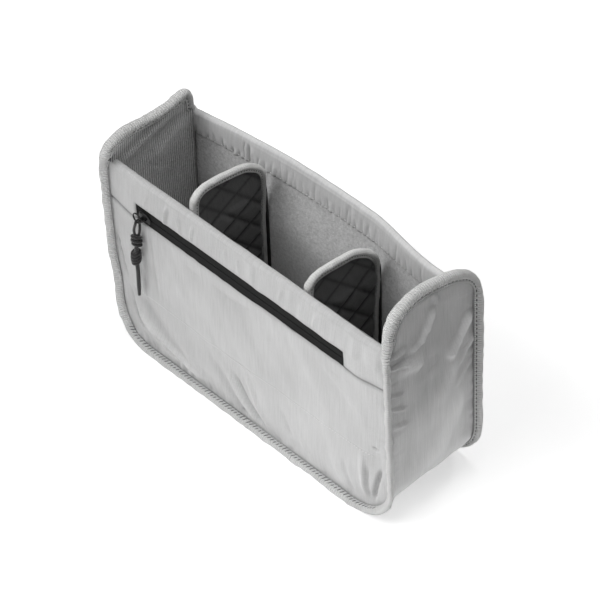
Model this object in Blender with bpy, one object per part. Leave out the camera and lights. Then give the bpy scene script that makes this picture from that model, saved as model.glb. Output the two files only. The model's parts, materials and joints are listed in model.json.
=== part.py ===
"""Camera bag insert: a soft padded box with raised rounded ends, a zip pocket across its front
and two lift-out dividers. Metres, +Z up, +X along the length, the zip pocket faces -Y.
The origin is on the floor, under the middle of the box."""

import math

import bmesh
import bpy
from mathutils import Matrix, Vector

# Overall box, measured on the seam lines
seam_length = 0.2892
seam_width = 0.0830
rim_height = 0.1715
wing_rise = 0.0285
corner_radius = 0.0380
end_lean = math.radians(2.0)
wing_front_radius = 0.0210
wing_back_radius = 0.0170

# Cloth, foam and the running gap between neighbours
fit_gap = 0.0003
shell_cloth = 0.0007
lining_cloth = 0.0008
facing_cloth = 0.0006
pocket_cloth = 0.0004
foam_board = 0.0030
facing_depth = 0.0200

# Bound seams: the tape's reach outside the seam line and how far it wraps a free edge
binding_reach = 0.0049
binding_chamfer = 0.0016
binding_tip_round = 0.0010
binding_wrap = 0.0080
binding_tape = 0.0008
wing_step = 0.0030

# Slack of the walls: the front stands out over its zip, the back flares at its rim
edge_ramp = 0.0290
front_rim_slack = 0.0012
back_flare = 0.0113
back_flare_height = 0.0650

# Zip: a reversed coil, so the coil is on the inner side of the tape
zip_drop = 0.0291
zip_window_height = 0.0142
zip_left_margin = 0.0361
zip_right_margin = 0.0429
zip_tape_width = 0.0125
zip_tape_overrun = 0.0045
zip_tape_cloth = 0.0006
zip_split = 0.0012
coil_diameter = 0.0012
coil_lip = 0.0006
stop_length = 0.0024

# Slider, its ring and the pull cord
slider_length = 0.0124
slider_height = 0.0086
slider_top_plate = 0.0012
slider_under_plate = 0.0008
slider_neck_width = 0.0006
slider_neck_length = 0.0040
slider_end_clearance = 0.0040
bridge_inner_half = 0.0011
bridge_leg = 0.0008
bridge_width = 0.0014
bridge_bar = 0.0008
bridge_play = 0.0004
ring_radius = 0.0040
ring_wire = 0.0012
cord_diameter = 0.0020
tail_diameter = 0.0029

# Dividers: one padded board each, bound all round, with a hook strip at both upright edges
left_divider_x = -0.0600
right_divider_x = 0.0550
divider_rise = 0.0095
divider_foam = 0.0030
divider_cloth = 0.0005
divider_top_radius = 0.0200
divider_foot_radius = 0.0080
divider_wrap = 0.0055
divider_tape = 0.0005
hook_thickness = 0.0016
hook_width = 0.0060
hook_foot_margin = 0.0200
hook_top_margin = 0.0340

# Rim, wing and corner stations are cut this finely
corner_steps = 6
wing_steps = 5
bow_steps = 12
ramp_steps = 4

# Values that follow from the sizes above
base_seam_height = binding_reach
half_length = seam_length / 2
wing_height = rim_height + wing_rise
divider_top_height = rim_height + divider_rise
zip_centre_height = rim_height - zip_drop
zip_window_left = zip_left_margin - half_length
zip_window_right = half_length - zip_right_margin
pocket_lining_depth = shell_cloth + fit_gap
foam_depth_front = pocket_lining_depth + pocket_cloth + fit_gap
lining_depth_front = foam_depth_front + foam_board + fit_gap
inner_depth_front = lining_depth_front + lining_cloth
foam_depth = shell_cloth + fit_gap
lining_depth = foam_depth + foam_board + fit_gap
inner_depth = lining_depth + lining_cloth
tape_depth = shell_cloth + fit_gap
coil_depth = tape_depth + zip_tape_cloth + fit_gap
under_plate_depth = coil_depth + coil_diameter + fit_gap
front_slack = under_plate_depth + slider_under_plate + fit_gap - pocket_lining_depth
ring_depth = slider_top_plate - shell_cloth + fit_gap + cord_diameter + fit_gap + ring_wire / 2 + fit_gap
bridge_top = ring_depth + ring_wire / 2 + bridge_play + bridge_bar
front_reach = seam_width / 2 + front_slack + bridge_top
back_reach = seam_width / 2 + back_flare
front_seam = (front_reach - back_reach) / 2 - seam_width / 2
back_seam = front_seam + seam_width
wing_front_edge = front_seam - binding_reach
wing_back_edge = back_seam + binding_reach
zip_low = zip_centre_height - zip_window_height / 2
zip_high = zip_centre_height + zip_window_height / 2
corner_height = base_seam_height + corner_radius
side_reach = half_length * math.cos(end_lean)
corner_x = (side_reach - corner_radius - corner_height * math.sin(end_lean)) / math.cos(end_lean)


def material(name, colour, roughness, metallic=0.0):
    made = bpy.data.materials.new(name)
    made.use_nodes = True
    shader = made.node_tree.nodes["Principled BSDF"]
    shader.inputs["Base Color"].default_value = (*colour, 1.0)
    shader.inputs["Roughness"].default_value = roughness
    shader.inputs["Metallic"].default_value = metallic
    made.diffuse_color = (*colour, 1.0)
    return made


def clear_scene():
    for found in list(bpy.data.objects):
        bpy.data.objects.remove(found, do_unlink=True)


def new_collection(name):
    made = bpy.data.collections.new(name)
    bpy.context.scene.collection.children.link(made)
    return made


def node(name, bm, finish, origin=(0.0, 0.0, 0.0)):
    """One named object from a bmesh given in world places, with its origin moved to a chosen point."""
    bmesh.ops.recalc_face_normals(bm, faces=bm.faces[:])
    if bm.calc_volume(signed=True) < 0:
        bmesh.ops.reverse_faces(bm, faces=bm.faces[:])
    bmesh.ops.translate(bm, verts=bm.verts[:], vec=-Vector(origin))
    mesh = bpy.data.meshes.new(name)
    bm.to_mesh(mesh)
    bm.free()
    mesh.materials.append(finish)
    made = bpy.data.objects.new(name, mesh)
    made.location = origin
    PARTS.objects.link(made)
    return made


def smooth_step(share):
    share = min(max(share, 0.0), 1.0)
    return share * share * (3 - 2 * share)


def spread(start, end, steps):
    return [start + (end - start) * i / steps for i in range(steps + 1)]


def grid_coordinates(vertex, columns, rows):
    across = round((vertex.co.x + 1) / 2 * (len(columns) - 1))
    along = round((vertex.co.y + 1) / 2 * (len(rows) - 1))
    return columns[across], rows[along]


def slab(name, place, columns, rows, finish, origin=(0.0, 0.0, 0.0)):
    """A plate with thickness: a grid extruded once, with place(column, row, depth) for depth 0 and 1."""
    bm = bmesh.new()
    bmesh.ops.create_grid(bm, x_segments=len(columns) - 1, y_segments=len(rows) - 1, size=1)
    made = bmesh.ops.extrude_face_region(bm, geom=bm.faces[:])
    far = {item for item in made["geom"] if isinstance(item, bmesh.types.BMVert)}
    for vertex in bm.verts:
        column, row = grid_coordinates(vertex, columns, rows)
        vertex.co = place(column, row, 1 if vertex in far else 0)
    return node(name, bm, finish, origin)


def sweep(name, place, path, profile, finish, closed=False, origin=(0.0, 0.0, 0.0)):
    """A closed profile carried along a path: a grid with its long edges joined and its open ends filled."""
    bm = bmesh.new()
    rounds = list(profile) + [profile[0]]
    runs = list(path) + ([path[0]] if closed else [])
    bmesh.ops.create_grid(bm, x_segments=len(rounds) - 1, y_segments=len(runs) - 1, size=1)
    for vertex in bm.verts:
        corner, station = grid_coordinates(vertex, rounds, runs)
        vertex.co = place(station, corner)
    bmesh.ops.remove_doubles(bm, verts=bm.verts[:], dist=fit_gap / 100)
    rims = [edge for edge in bm.edges if edge.is_boundary]
    if rims:
        bmesh.ops.holes_fill(bm, edges=rims, sides=0)
    return node(name, bm, finish, origin)


def moved_and_scaled(bm, middle, sides):
    change = Matrix.Translation(middle) @ Matrix.Diagonal((*sides, 1))
    bmesh.ops.transform(bm, matrix=change, verts=bm.verts[:])
    return bm


def box(low, high):
    bm = bmesh.new()
    bmesh.ops.create_cube(bm, size=1)
    return moved_and_scaled(bm, (Vector(low) + Vector(high)) / 2, Vector(high) - Vector(low))


def cutter(name, low, high):
    made = node(name, box(low, high), CUTTER_FINISH)
    PARTS.objects.unlink(made)
    CUTTERS.objects.link(made)
    made.hide_render = True
    made.display_type = "WIRE"
    return made


def combine(target, other, operation):
    change = target.modifiers.new(operation.title(), "BOOLEAN")
    change.operation = operation
    change.object = other


def joined(target, helpers):
    """Unites the helpers into the target and leaves them as hidden cutters."""
    for helper in helpers:
        combine(target, helper, "UNION")
        PARTS.objects.unlink(helper)
        CUTTERS.objects.link(helper)
        helper.hide_render = True
        helper.display_type = "WIRE"
    return target


def half_width(height, inset):
    """Half the length of the U outline at a height, for an outline drawn in by inset."""
    arc_top = corner_height + (corner_radius - inset) * math.sin(end_lean)
    if height >= arc_top:
        return (side_reach - inset - height * math.sin(end_lean)) / math.cos(end_lean)
    rise = min(max(corner_height - height, 0.0), corner_radius - inset)
    if height > corner_height:
        rise = height - corner_height
    return corner_x + math.sqrt(max((corner_radius - inset) ** 2 - rise**2, 0.0))


def wall_rows(inset, top, extra):
    """Heights of a wall's rows: the corner arc in equal angles, then the rows that the wall's shape needs."""
    radius = corner_radius - inset
    arc = [corner_height - radius * math.cos(angle) for angle in spread(0.0, math.pi / 2, corner_steps)]
    return arc + [row for row in sorted(extra) if arc[-1] < row < top] + [top]


def front_stand(x, z):
    """How far the front cloth stands out from the seam plane."""
    side = smooth_step((half_width(z, 0) - abs(x)) / edge_ramp)
    foot = smooth_step((z - base_seam_height) / edge_ramp)
    head = smooth_step((z - zip_high) / (rim_height - zip_high))
    return side * foot * (front_slack + (front_rim_slack - front_slack) * head)


def back_stand(x, z):
    """How far the back wall flares out from its seam plane."""
    rise = smooth_step((z - rim_height + back_flare_height) / back_flare_height)
    share = x / half_width(z, 0)
    return back_flare * (1 - share * share) * rise


def ramp_columns():
    flat_share = 1 - edge_ramp / half_width(rim_height, 0)
    right = spread(flat_share, 1.0, ramp_steps)
    return [-share for share in reversed(right)] + right


def front_place(inset, outer, inner, follow):
    """Places a front layer between two depths behind the seam plane; follow adds the cloth's stand-off."""
    def place(share, height, depth):
        x = share * half_width(height, inset)
        y = front_seam + (inner if depth else outer)
        if follow:
            y -= front_stand(x, height)
        return Vector((x, y, height))
    return place


def back_place(inset, outer, inner):
    def place(share, height, depth):
        x = share * half_width(height, inset)
        y = back_seam - (inner if depth else outer) + back_stand(x, height)
        return Vector((x, y, height))
    return place


def tuck_rows():
    return spread(zip_high, rim_height, 3)


def flare_rows(top):
    return spread(rim_height - back_flare_height, top, 5)


# Front wall: outer cloth in two pieces, pocket lining, foam board, loop lining and rim facing
def build_front_wall():
    pocket_top = zip_low - fit_gap / 2
    rows = wall_rows(0, pocket_top, [base_seam_height + edge_ramp])
    slab("front_pocket_panel", front_place(0, 0, shell_cloth, True), ramp_columns(), rows, SHELL)
    band = slab(
        "front_top_band", front_place(0, 0, shell_cloth, True), ramp_columns(),
        [zip_low + fit_gap / 2] + tuck_rows(), SHELL,
    )
    outside = front_seam - front_slack - shell_cloth
    window = cutter(
        "zip_window_cutter",
        (zip_window_left, outside, zip_low - zip_window_height),
        (zip_window_right, front_seam + shell_cloth, zip_high),
    )
    combine(band, window, "DIFFERENCE")
    inset = shell_cloth + fit_gap
    top = rim_height - facing_cloth - fit_gap
    flat = [-1.0, 0.0, 1.0]
    slab(
        "pocket_lining", front_place(inset, pocket_lining_depth, pocket_lining_depth + pocket_cloth, False),
        flat, wall_rows(inset, top, []), POCKET_LINING,
    )
    slab(
        "front_foam_board", front_place(inset, foam_depth_front, foam_depth_front + foam_board, False),
        flat, wall_rows(inset, top, []), FOAM,
    )
    slab(
        "front_lining", front_place(inset, lining_depth_front, inner_depth_front, False),
        flat, wall_rows(inset, rim_height - facing_depth - fit_gap, []), LOOP_LINING,
    )

    def facing_point(share, station, depth):
        x_share = share * half_width(rim_height, inset)
        stand = front_stand(x_share, rim_height)
        inner = front_seam + lining_depth_front
        if station == "foot":
            return Vector((x_share, inner + depth * facing_cloth, rim_height - facing_depth))
        if station == "bend":
            return Vector((x_share, inner + depth * facing_cloth, rim_height - (1 - depth) * facing_cloth))
        outer = front_seam - stand + shell_cloth + fit_gap
        return Vector((x_share, outer, rim_height - (1 - depth) * facing_cloth))

    slab("front_rim_facing", facing_point, ramp_columns(), ["foot", "bend", "lip"], FACING)


# Back wall: outer cloth, foam board, loop lining and rim facing, all flared alike at the rim
def build_back_wall():
    columns = spread(-1.0, 1.0, bow_steps)
    slab("back_outer_panel", back_place(0, 0, shell_cloth), columns,
         wall_rows(0, rim_height, flare_rows(rim_height)), SHELL)
    inset = shell_cloth + fit_gap
    top = rim_height - facing_cloth - fit_gap
    slab("back_foam_board", back_place(inset, foam_depth, foam_depth + foam_board), columns,
         wall_rows(inset, top, flare_rows(top)), FOAM)
    lining_top = rim_height - facing_depth - fit_gap
    slab("back_lining", back_place(inset, lining_depth, inner_depth), columns,
         wall_rows(inset, lining_top, flare_rows(lining_top)), LOOP_LINING)

    def facing_point(share, station, depth):
        height = rim_height if station >= facing_depth else rim_height - facing_depth + station
        x = share * half_width(height, inset)
        inner = back_seam - lining_depth + back_stand(x, height)
        if station <= facing_depth:
            lowered = (1 - depth) * facing_cloth if station == facing_depth else 0.0
            return Vector((x, inner - depth * facing_cloth, height - lowered))
        outer = back_seam - foam_depth + back_stand(x, height)
        return Vector((x, outer, height - (1 - depth) * facing_cloth))

    slab("back_rim_facing", facing_point, columns,
         [0.0, facing_depth / 2, facing_depth, facing_depth + lining_depth], FACING)


def hoop_point(station, inset):
    """X and Z on the U outline. A station is (side, kind, value): a height or an angle on the corner arc."""
    side, kind, value = station
    if kind == "height":
        return side * (side_reach - inset - value * math.sin(end_lean)) / math.cos(end_lean), value
    radius = corner_radius - inset
    return side * (corner_x + radius * math.cos(value)), corner_height + radius * math.sin(value)


def wing_span(height, inset):
    """The front and back edges of the raised end at a height, drawn in by inset."""
    front = wing_front_edge + inset
    back = wing_back_edge - inset
    top = wing_height - inset
    for_front = height - (top - (wing_front_radius - inset))
    if for_front > 0:
        radius = wing_front_radius - inset
        front += radius - math.sqrt(max(radius**2 - for_front**2, 0.0))
    for_back = height - (top - (wing_back_radius - inset))
    if for_back > 0:
        radius = wing_back_radius - inset
        back -= radius - math.sqrt(max(radius**2 - for_back**2, 0.0))
    return front, back


def wing_heights(inset):
    """Rows of the raised end, from its top down to the rim."""
    top = wing_height - inset
    radius = wing_front_radius - inset
    arc = [top - radius + radius * math.sin(angle) for angle in spread(math.pi / 2, 0.0, wing_steps)]
    arc[0] = top - fit_gap / 10
    return arc + [rim_height + wing_step]


def side_stations(side, inset):
    """From the top of a raised end down to the corner arc."""
    heights = wing_heights(inset) + [rim_height + fit_gap]
    return [(side, "height", height) for height in heights]


def arc_stations(side):
    return [(side, "angle", angle) for angle in spread(end_lean, -math.pi / 2, corner_steps)]


def strip_place(outer, inner, margin_front, margin_back, wing_inset):
    """Places a layer of the end and base strip. Below the rim its edges keep a margin to the walls."""
    def place(share, station, depth):
        inset = inner if depth else outer
        x, z = hoop_point(station, inset)
        if station[1] == "height" and station[2] >= rim_height + wing_step:
            front, back = wing_span(station[2], wing_inset)
        else:
            front, back = front_seam + margin_front, back_seam - margin_back
        return Vector((x, front + share * (back - front), z))
    return place


# End and base strip: one outer cloth, one foam strip and three lining pieces
def build_strip():
    wing_inset = binding_tape + fit_gap
    left = side_stations(-1, wing_inset) + arc_stations(-1)
    right = side_stations(1, wing_inset) + arc_stations(1)
    whole = left + right[::-1]
    shell_margin = shell_cloth + fit_gap
    slab("end_and_base_shell", strip_place(0, shell_cloth, shell_margin, shell_margin, wing_inset),
         [0.0, 1.0], whole, SHELL)
    front_margin = inner_depth_front + fit_gap
    back_margin = inner_depth + fit_gap
    foam = strip_place(foam_depth, foam_depth + foam_board, front_margin, back_margin, wing_inset)
    slab("end_and_base_foam", foam, [0.0, 1.0], whole, FOAM)
    lining = strip_place(lining_depth, inner_depth, front_margin, back_margin, wing_inset)
    lining_foot = corner_height + corner_radius * math.sin(end_lean) + fit_gap
    for side, name in ((-1, "left_end_lining"), (1, "right_end_lining")):
        rows = side_stations(side, wing_inset) + [(side, "height", lining_foot)]
        slab(name, lining, [0.0, 1.0], rows, END_LINING)
    slab("base_lining", lining, [0.0, 1.0], arc_stations(-1) + arc_stations(1)[::-1], LOOP_LINING)


# Seam bindings: a bead outside each long seam, then a folded tape over each raised end
def build_bindings():
    reach, gap, cut, tip = binding_reach, fit_gap, binding_chamfer, binding_tip_round
    profile = [
        (gap, gap), (reach - cut, gap), (reach, gap + cut),
        (reach, reach - tip), (reach - tip, reach), (gap + cut, reach), (gap, reach - cut),
    ]
    top = rim_height + wing_step - fit_gap
    left = [(-1, "height", top)] + arc_stations(-1)
    right = [(1, "height", top)] + arc_stations(1)
    path = left + right[::-1]
    for name, seam, outward in (("front_binding", front_seam, -1), ("back_binding", back_seam, 1)):
        def place(station, corner, seam=seam, outward=outward):
            x, z = hoop_point(station, -corner[0])
            return Vector((x, seam + outward * corner[1], z))
        sweep(name, place, path, profile, BINDING)
    build_wing_bindings()


def build_wing_bindings():
    wall = binding_tape
    outside = -fit_gap - wall
    inside = inner_depth + fit_gap + wall
    profile = [
        (0.0, outside), (binding_wrap, outside), (binding_wrap, outside + wall), (wall, outside + wall),
        (wall, inside - wall), (binding_wrap, inside - wall), (binding_wrap, inside), (0.0, inside),
    ]
    foot = rim_height + wing_step
    corners = (
        (wing_front_edge + wing_front_radius, wing_front_radius, math.pi),
        (wing_back_edge - wing_back_radius, wing_back_radius, math.pi / 2),
    )
    path = [(wing_front_edge, foot, math.pi)]
    for centre, radius, start in corners:
        for angle in spread(start, start - math.pi / 2, wing_steps):
            y = centre + radius * math.cos(angle)
            z = wing_height - radius + radius * math.sin(angle)
            path.append((y, z, angle))
    path.append((wing_back_edge, foot, 0.0))
    for side, name in ((-1, "left_end_binding"), (1, "right_end_binding")):
        def place(station, corner, side=side):
            y, z, angle = station
            inward, depth = corner
            y -= inward * math.cos(angle)
            z -= inward * math.sin(angle)
            x, _ = hoop_point((side, "height", z), depth)
            return Vector((x, y, z))
        sweep(name, place, path, profile, BINDING)


# Zip: two tapes behind the window, a coil on each, and the stops at both ends
def build_zip():
    half_split = zip_split / 2
    tape_left = zip_window_left - zip_tape_overrun
    tape_right = zip_window_right + zip_tape_overrun
    for side, name in ((1, "upper_zip_tape"), (-1, "lower_zip_tape")):
        low = zip_centre_height + side * half_split
        high = zip_centre_height + side * (half_split + zip_tape_width)

        def place(share, height, depth):
            x = tape_left + share * (tape_right - tape_left)
            stand = front_stand(x, height)
            level = tape_depth + (zip_tape_cloth if depth else 0.0)
            return Vector((x, front_seam - stand + level, height))

        rows = spread(low, high, 3)
        edge_share = zip_tape_overrun / (tape_right - tape_left)
        slab(name, place, [0.0, edge_share, 1 - edge_share, 1.0], rows, ZIP_TAPE)
    coil_y = front_seam - front_slack + coil_depth + coil_diameter / 2
    run = zip_window_right - zip_window_left - 2 * stop_length
    for side, name in ((1, "upper_zip_coil"), (-1, "lower_zip_coil")):
        z = zip_centre_height + side * (half_split + coil_lip + coil_diameter / 2)
        bm = bmesh.new()
        turn = Matrix.Rotation(math.pi / 2, 4, "Y")
        middle = Matrix.Translation(((zip_window_left + zip_window_right) / 2, coil_y, z))
        bmesh.ops.create_cone(bm, cap_ends=True, segments=8, radius1=coil_diameter / 2,
                              radius2=coil_diameter / 2, depth=run, matrix=middle @ turn)
        node(name, bm, ZIP_COIL)
        low = (zip_window_left, coil_y - coil_diameter / 2, z - coil_diameter / 2)
        high = (zip_window_left + stop_length - fit_gap, coil_y + coil_diameter / 2, z + coil_diameter / 2)
        node(name.replace("coil", "left_stop"), box(low, high), METAL)
    spread_height = half_split + coil_lip + coil_diameter
    stop_left = zip_window_right - stop_length + fit_gap
    low = (stop_left, coil_y - coil_diameter / 2, zip_centre_height - spread_height)
    high = (zip_window_right, coil_y + coil_diameter / 2, zip_centre_height + spread_height)
    node("zip_right_stop", box(low, high), METAL)


def slider_x():
    return zip_window_left + slider_end_clearance + slider_length / 2


# Slider: two plates joined by a neck between the tapes, with a bridge for the ring
def build_slider():
    x = slider_x()
    face = front_seam - front_slack
    plate_back = face + tape_depth - fit_gap
    plate_front = plate_back - slider_top_plate
    under_front = face + under_plate_depth
    under_back = under_front + slider_under_plate
    half, tall = slider_length / 2, slider_height / 2
    origin = (x, face - ring_depth, zip_centre_height)
    low, high = zip_centre_height - tall, zip_centre_height + tall
    plate = box((x - half, plate_front, low), (x + half, plate_back, high))
    body = node("slider_body", plate, METAL, origin)
    overlap = slider_under_plate / 2
    neck_half = slider_neck_width / 2
    neck = node(
        "slider_neck_helper",
        box((x - half, plate_back - overlap, zip_centre_height - neck_half),
            (x - half + slider_neck_length, under_front + overlap, zip_centre_height + neck_half)),
        METAL,
    )
    under_plate = box((x - half, under_front, low), (x + half, under_back, high))
    under = node("slider_under_helper", under_plate, METAL)
    bridge_front = face - bridge_top
    reach = bridge_inner_half + bridge_leg
    bridge = node(
        "slider_bridge_helper",
        box((x - reach, bridge_front, zip_centre_height - bridge_width / 2),
            (x + reach, plate_front + overlap, zip_centre_height + bridge_width / 2)),
        METAL,
    )
    eye = cutter(
        "slider_eye_cutter",
        (x - bridge_inner_half, bridge_front + bridge_bar, zip_centre_height - bridge_width),
        (x + bridge_inner_half, plate_front, zip_centre_height + bridge_width),
    )
    combine(bridge, eye, "DIFFERENCE")
    joined(body, [neck, under, bridge])
    return origin


def build_ring(pivot):
    centre = (pivot[0] - ring_radius, pivot[1], pivot[2])
    bpy.ops.mesh.primitive_torus_add(
        major_segments=20, minor_segments=8, major_radius=ring_radius, minor_radius=ring_wire / 2,
        location=(0.0, 0.0, 0.0), rotation=(math.pi / 2, 0.0, 0.0),
    )
    made = bpy.context.object
    bm = bmesh.new()
    bm.from_mesh(made.data)
    stand = Matrix.Translation(centre) @ made.rotation_euler.to_matrix().to_4x4()
    bmesh.ops.transform(bm, matrix=stand, verts=bm.verts[:])
    bpy.data.objects.remove(made, do_unlink=True)
    node("pull_ring", bm, METAL, pivot)
    return centre


def cord_tube(name, points, diameter):
    """A tube along a smooth route, kept as a mesh so that the knots can be united with it."""
    data = bpy.data.curves.new(name, "CURVE")
    data.dimensions = "3D"
    line = data.splines.new("POLY")
    line.points.add(len(points) - 1)
    for point, place in zip(line.points, points):
        point.co = (*place, 1.0)
    data.bevel_depth = diameter / 2
    data.bevel_resolution = 2
    data.use_fill_caps = True
    guide = bpy.data.objects.new(name + "_guide", data)
    PARTS.objects.link(guide)
    evaluated = guide.evaluated_get(bpy.context.evaluated_depsgraph_get())
    bm = bmesh.new()
    bm.from_mesh(evaluated.to_mesh())
    bpy.data.objects.remove(guide, do_unlink=True)
    bmesh.ops.remove_doubles(bm, verts=bm.verts[:], dist=fit_gap / 100)
    return bm


def smooth_route(points, steps):
    """A Catmull-Rom curve through the points."""
    ends = [2 * points[0] - points[1]] + points + [2 * points[-1] - points[-2]]
    made = []
    for i in range(1, len(ends) - 2):
        a, b, c, d = ends[i - 1:i + 3]
        for k in range(steps):
            t = k / steps
            bend = (2 * a - 5 * b + 4 * c - d) * t**2
            twist = (3 * b - a - 3 * c + d) * t**3
            made.append((2 * b + (c - a) * t + bend + twist) / 2)
    return made + [points[-1]]


# Pull cord, in metres from the ring's centre: a loop round the ring, two knots and the tail
cord_knots = (
    ((-0.0022, -0.0008, -0.0222), (0.0046, 0.0038, 0.0054)),
    ((-0.0050, -0.0006, -0.0400), (0.0037, 0.0036, 0.0060)),
)
cord_tail = (
    (-0.0048, -0.0006, -0.0440), (-0.0050, -0.0004, -0.0560),
    (-0.0060, -0.0002, -0.0680), (-0.0070, 0.0000, -0.0802),
)


def build_cord(centre):
    hub = Vector(centre)
    wrap = ring_wire / 2 + fit_gap + cord_diameter / 2
    foot = Vector((0.0, 0.0, -ring_radius))
    over = []
    for angle in spread(0.0, math.pi, corner_steps):
        over.append(foot + Vector((0.0, -wrap * math.cos(angle), wrap * math.sin(angle))))
    knot = Vector(cord_knots[0][0])
    front_end = knot + Vector((0.0, -cord_diameter / 2, 0.0))
    back_end = knot + Vector((0.0, cord_diameter / 2, 0.0))
    front_mid = (over[0] + front_end) / 2 + Vector((0.0, -cord_diameter / 8, 0.0))
    back_mid = (over[-1] + back_end) / 2
    route = smooth_route([front_end, front_mid] + over + [back_mid, back_end], 2)
    pivot = tuple(hub)
    loop = node("pull_cord", cord_tube("pull_cord", [hub + p for p in route], cord_diameter), CORD, pivot)
    helpers = []
    for i, (place, sizes) in enumerate(cord_knots):
        bm = bmesh.new()
        bmesh.ops.create_uvsphere(bm, u_segments=12, v_segments=8, radius=1.0)
        moved_and_scaled(bm, hub + Vector(place), sizes)
        helpers.append(node("cord_knot_helper_%d" % i, bm, CORD))
    link = [hub + Vector(cord_knots[0][0]), hub + Vector(cord_knots[1][0])]
    helpers.append(node("cord_link_helper", cord_tube("cord_link", link, tail_diameter), CORD))
    tail = [hub + Vector(point) for point in cord_tail]
    tail_tube = cord_tube("cord_tail", smooth_route(tail, 3), tail_diameter)
    helpers.append(node("cord_tail_helper", tail_tube, CORD))
    return joined(loop, helpers)


def rounded_span(height, low, high, front, back, foot_radius, top_radius):
    """Front and back edges of a rounded rectangle at a height."""
    draw = 0.0
    below = foot_radius - (height - low)
    above = top_radius - (high - height)
    if below > 0:
        draw = foot_radius - math.sqrt(max(foot_radius**2 - below**2, 0.0))
    elif above > 0:
        draw = top_radius - math.sqrt(max(top_radius**2 - above**2, 0.0))
    return front + draw, back - draw


def board_heights(low, high, foot_radius, top_radius):
    feet = [low + foot_radius - foot_radius * math.cos(a) for a in spread(0.0, math.pi / 2, wing_steps - 1)]
    tops = [high - top_radius + top_radius * math.sin(a) for a in spread(0.0, math.pi / 2, wing_steps)]
    return feet + tops


# Divider: foam board, a quilted cloth on each face, a bound edge and two hook strips
def build_divider(side, x):
    low = base_seam_height + inner_depth + fit_gap
    high = divider_top_height
    front = front_seam + inner_depth_front + fit_gap + hook_thickness + fit_gap
    back = back_seam - inner_depth - fit_gap - hook_thickness - fit_gap
    origin = (x, (front + back) / 2, low)
    trim = divider_tape + fit_gap
    radii = (divider_foot_radius - trim, divider_top_radius - trim)
    heights = board_heights(low + trim, high - trim, *radii)

    def board(name, near, far, finish):
        def place(share, height, depth):
            start, end = rounded_span(height, low + trim, high - trim, front + trim, back - trim, *radii)
            return Vector((x + (far if depth else near), start + share * (end - start), height))
        slab(name, place, [0.0, 1.0], heights, finish, origin)

    half_foam = divider_foam / 2
    face = half_foam + fit_gap + divider_cloth
    board(side + "_divider_foam", -half_foam, half_foam, FOAM)
    board(side + "_divider_left_face", -face, -face + divider_cloth, QUILT)
    board(side + "_divider_right_face", face - divider_cloth, face, QUILT)
    outside = face + fit_gap + divider_tape
    wrap, wall = divider_wrap, divider_tape
    profile = [
        (0.0, -outside), (wrap, -outside), (wrap, wall - outside), (wall, wall - outside),
        (wall, outside - wall), (wrap, outside - wall), (wrap, outside), (0.0, outside),
    ]
    path = []
    corners = (
        (front, low, divider_foot_radius, 1, 1, math.pi),
        (back, low, divider_foot_radius, -1, 1, 1.5 * math.pi),
        (back, high, divider_top_radius, -1, -1, 0.0),
        (front, high, divider_top_radius, 1, -1, math.pi / 2),
    )
    for edge, level, radius, turn_y, turn_z, start in corners:
        for angle in spread(start, start + math.pi / 2, wing_steps):
            middle_y, middle_z = edge + turn_y * radius, level + turn_z * radius
            path.append((middle_y + radius * math.cos(angle), middle_z + radius * math.sin(angle), angle))

    def tape_place(station, corner):
        y, z, angle = station
        return Vector((x + corner[1], y - corner[0] * math.cos(angle), z - corner[0] * math.sin(angle)))

    sweep(side + "_divider_binding", tape_place, path, profile, DIVIDER_BINDING, closed=True, origin=origin)
    strip_low, strip_high = low + hook_foot_margin, high - hook_top_margin
    left, right = x - hook_width / 2, x + hook_width / 2
    strips = (("front", front - fit_gap - hook_thickness), ("back", back + fit_gap))
    for edge, start in strips:
        bm = box((left, start, strip_low), (right, start + hook_thickness, strip_high))
        node(side + "_divider_" + edge + "_hooks", bm, HOOKS, origin)


clear_scene()
PARTS = new_collection("camera_bag_insert")
CUTTERS = new_collection("cutters")
SHELL = material("shell_cloth", (0.50, 0.50, 0.50), 0.75)
BINDING = material("binding_tape", (0.62, 0.62, 0.62), 0.8)
FACING = material("facing_cloth", (0.48, 0.48, 0.48), 0.75)
POCKET_LINING = material("pocket_lining", (0.30, 0.30, 0.30), 0.8)
LOOP_LINING = material("loop_lining", (0.36, 0.36, 0.36), 0.95)
END_LINING = material("end_lining", (0.14, 0.14, 0.14), 0.95)
FOAM = material("foam", (0.20, 0.20, 0.20), 0.9)
ZIP_TAPE = material("zip_tape", (0.045, 0.045, 0.045), 0.7)
ZIP_COIL = material("zip_coil", (0.03, 0.03, 0.03), 0.5)
METAL = material("dark_metal", (0.10, 0.10, 0.10), 0.35, 1.0)
CORD = material("pull_cord", (0.045, 0.045, 0.045), 0.8)
QUILT = material("quilted_cloth", (0.035, 0.035, 0.035), 0.85)
DIVIDER_BINDING = material("divider_binding", (0.62, 0.62, 0.62), 0.8)
HOOKS = material("hook_strip", (0.015, 0.015, 0.015), 0.8)
CUTTER_FINISH = material("cutter", (0.8, 0.2, 0.2), 0.5)

build_front_wall()
build_back_wall()
build_strip()
build_bindings()
build_zip()
slider_pivot = build_slider()
ring_centre = build_ring(slider_pivot)
build_cord(ring_centre)
build_divider("left", left_divider_x)
build_divider("right", right_divider_x)
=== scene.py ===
"""The looks of a camera bag insert: cloth walls, bound seams, a zip pocket and two quilted dividers.
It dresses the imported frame. Everything is in metres, +Z up, and the zip pocket faces -Y."""
import json
import math

import bpy
import numpy as np
from mathutils import Matrix, Vector


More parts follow.
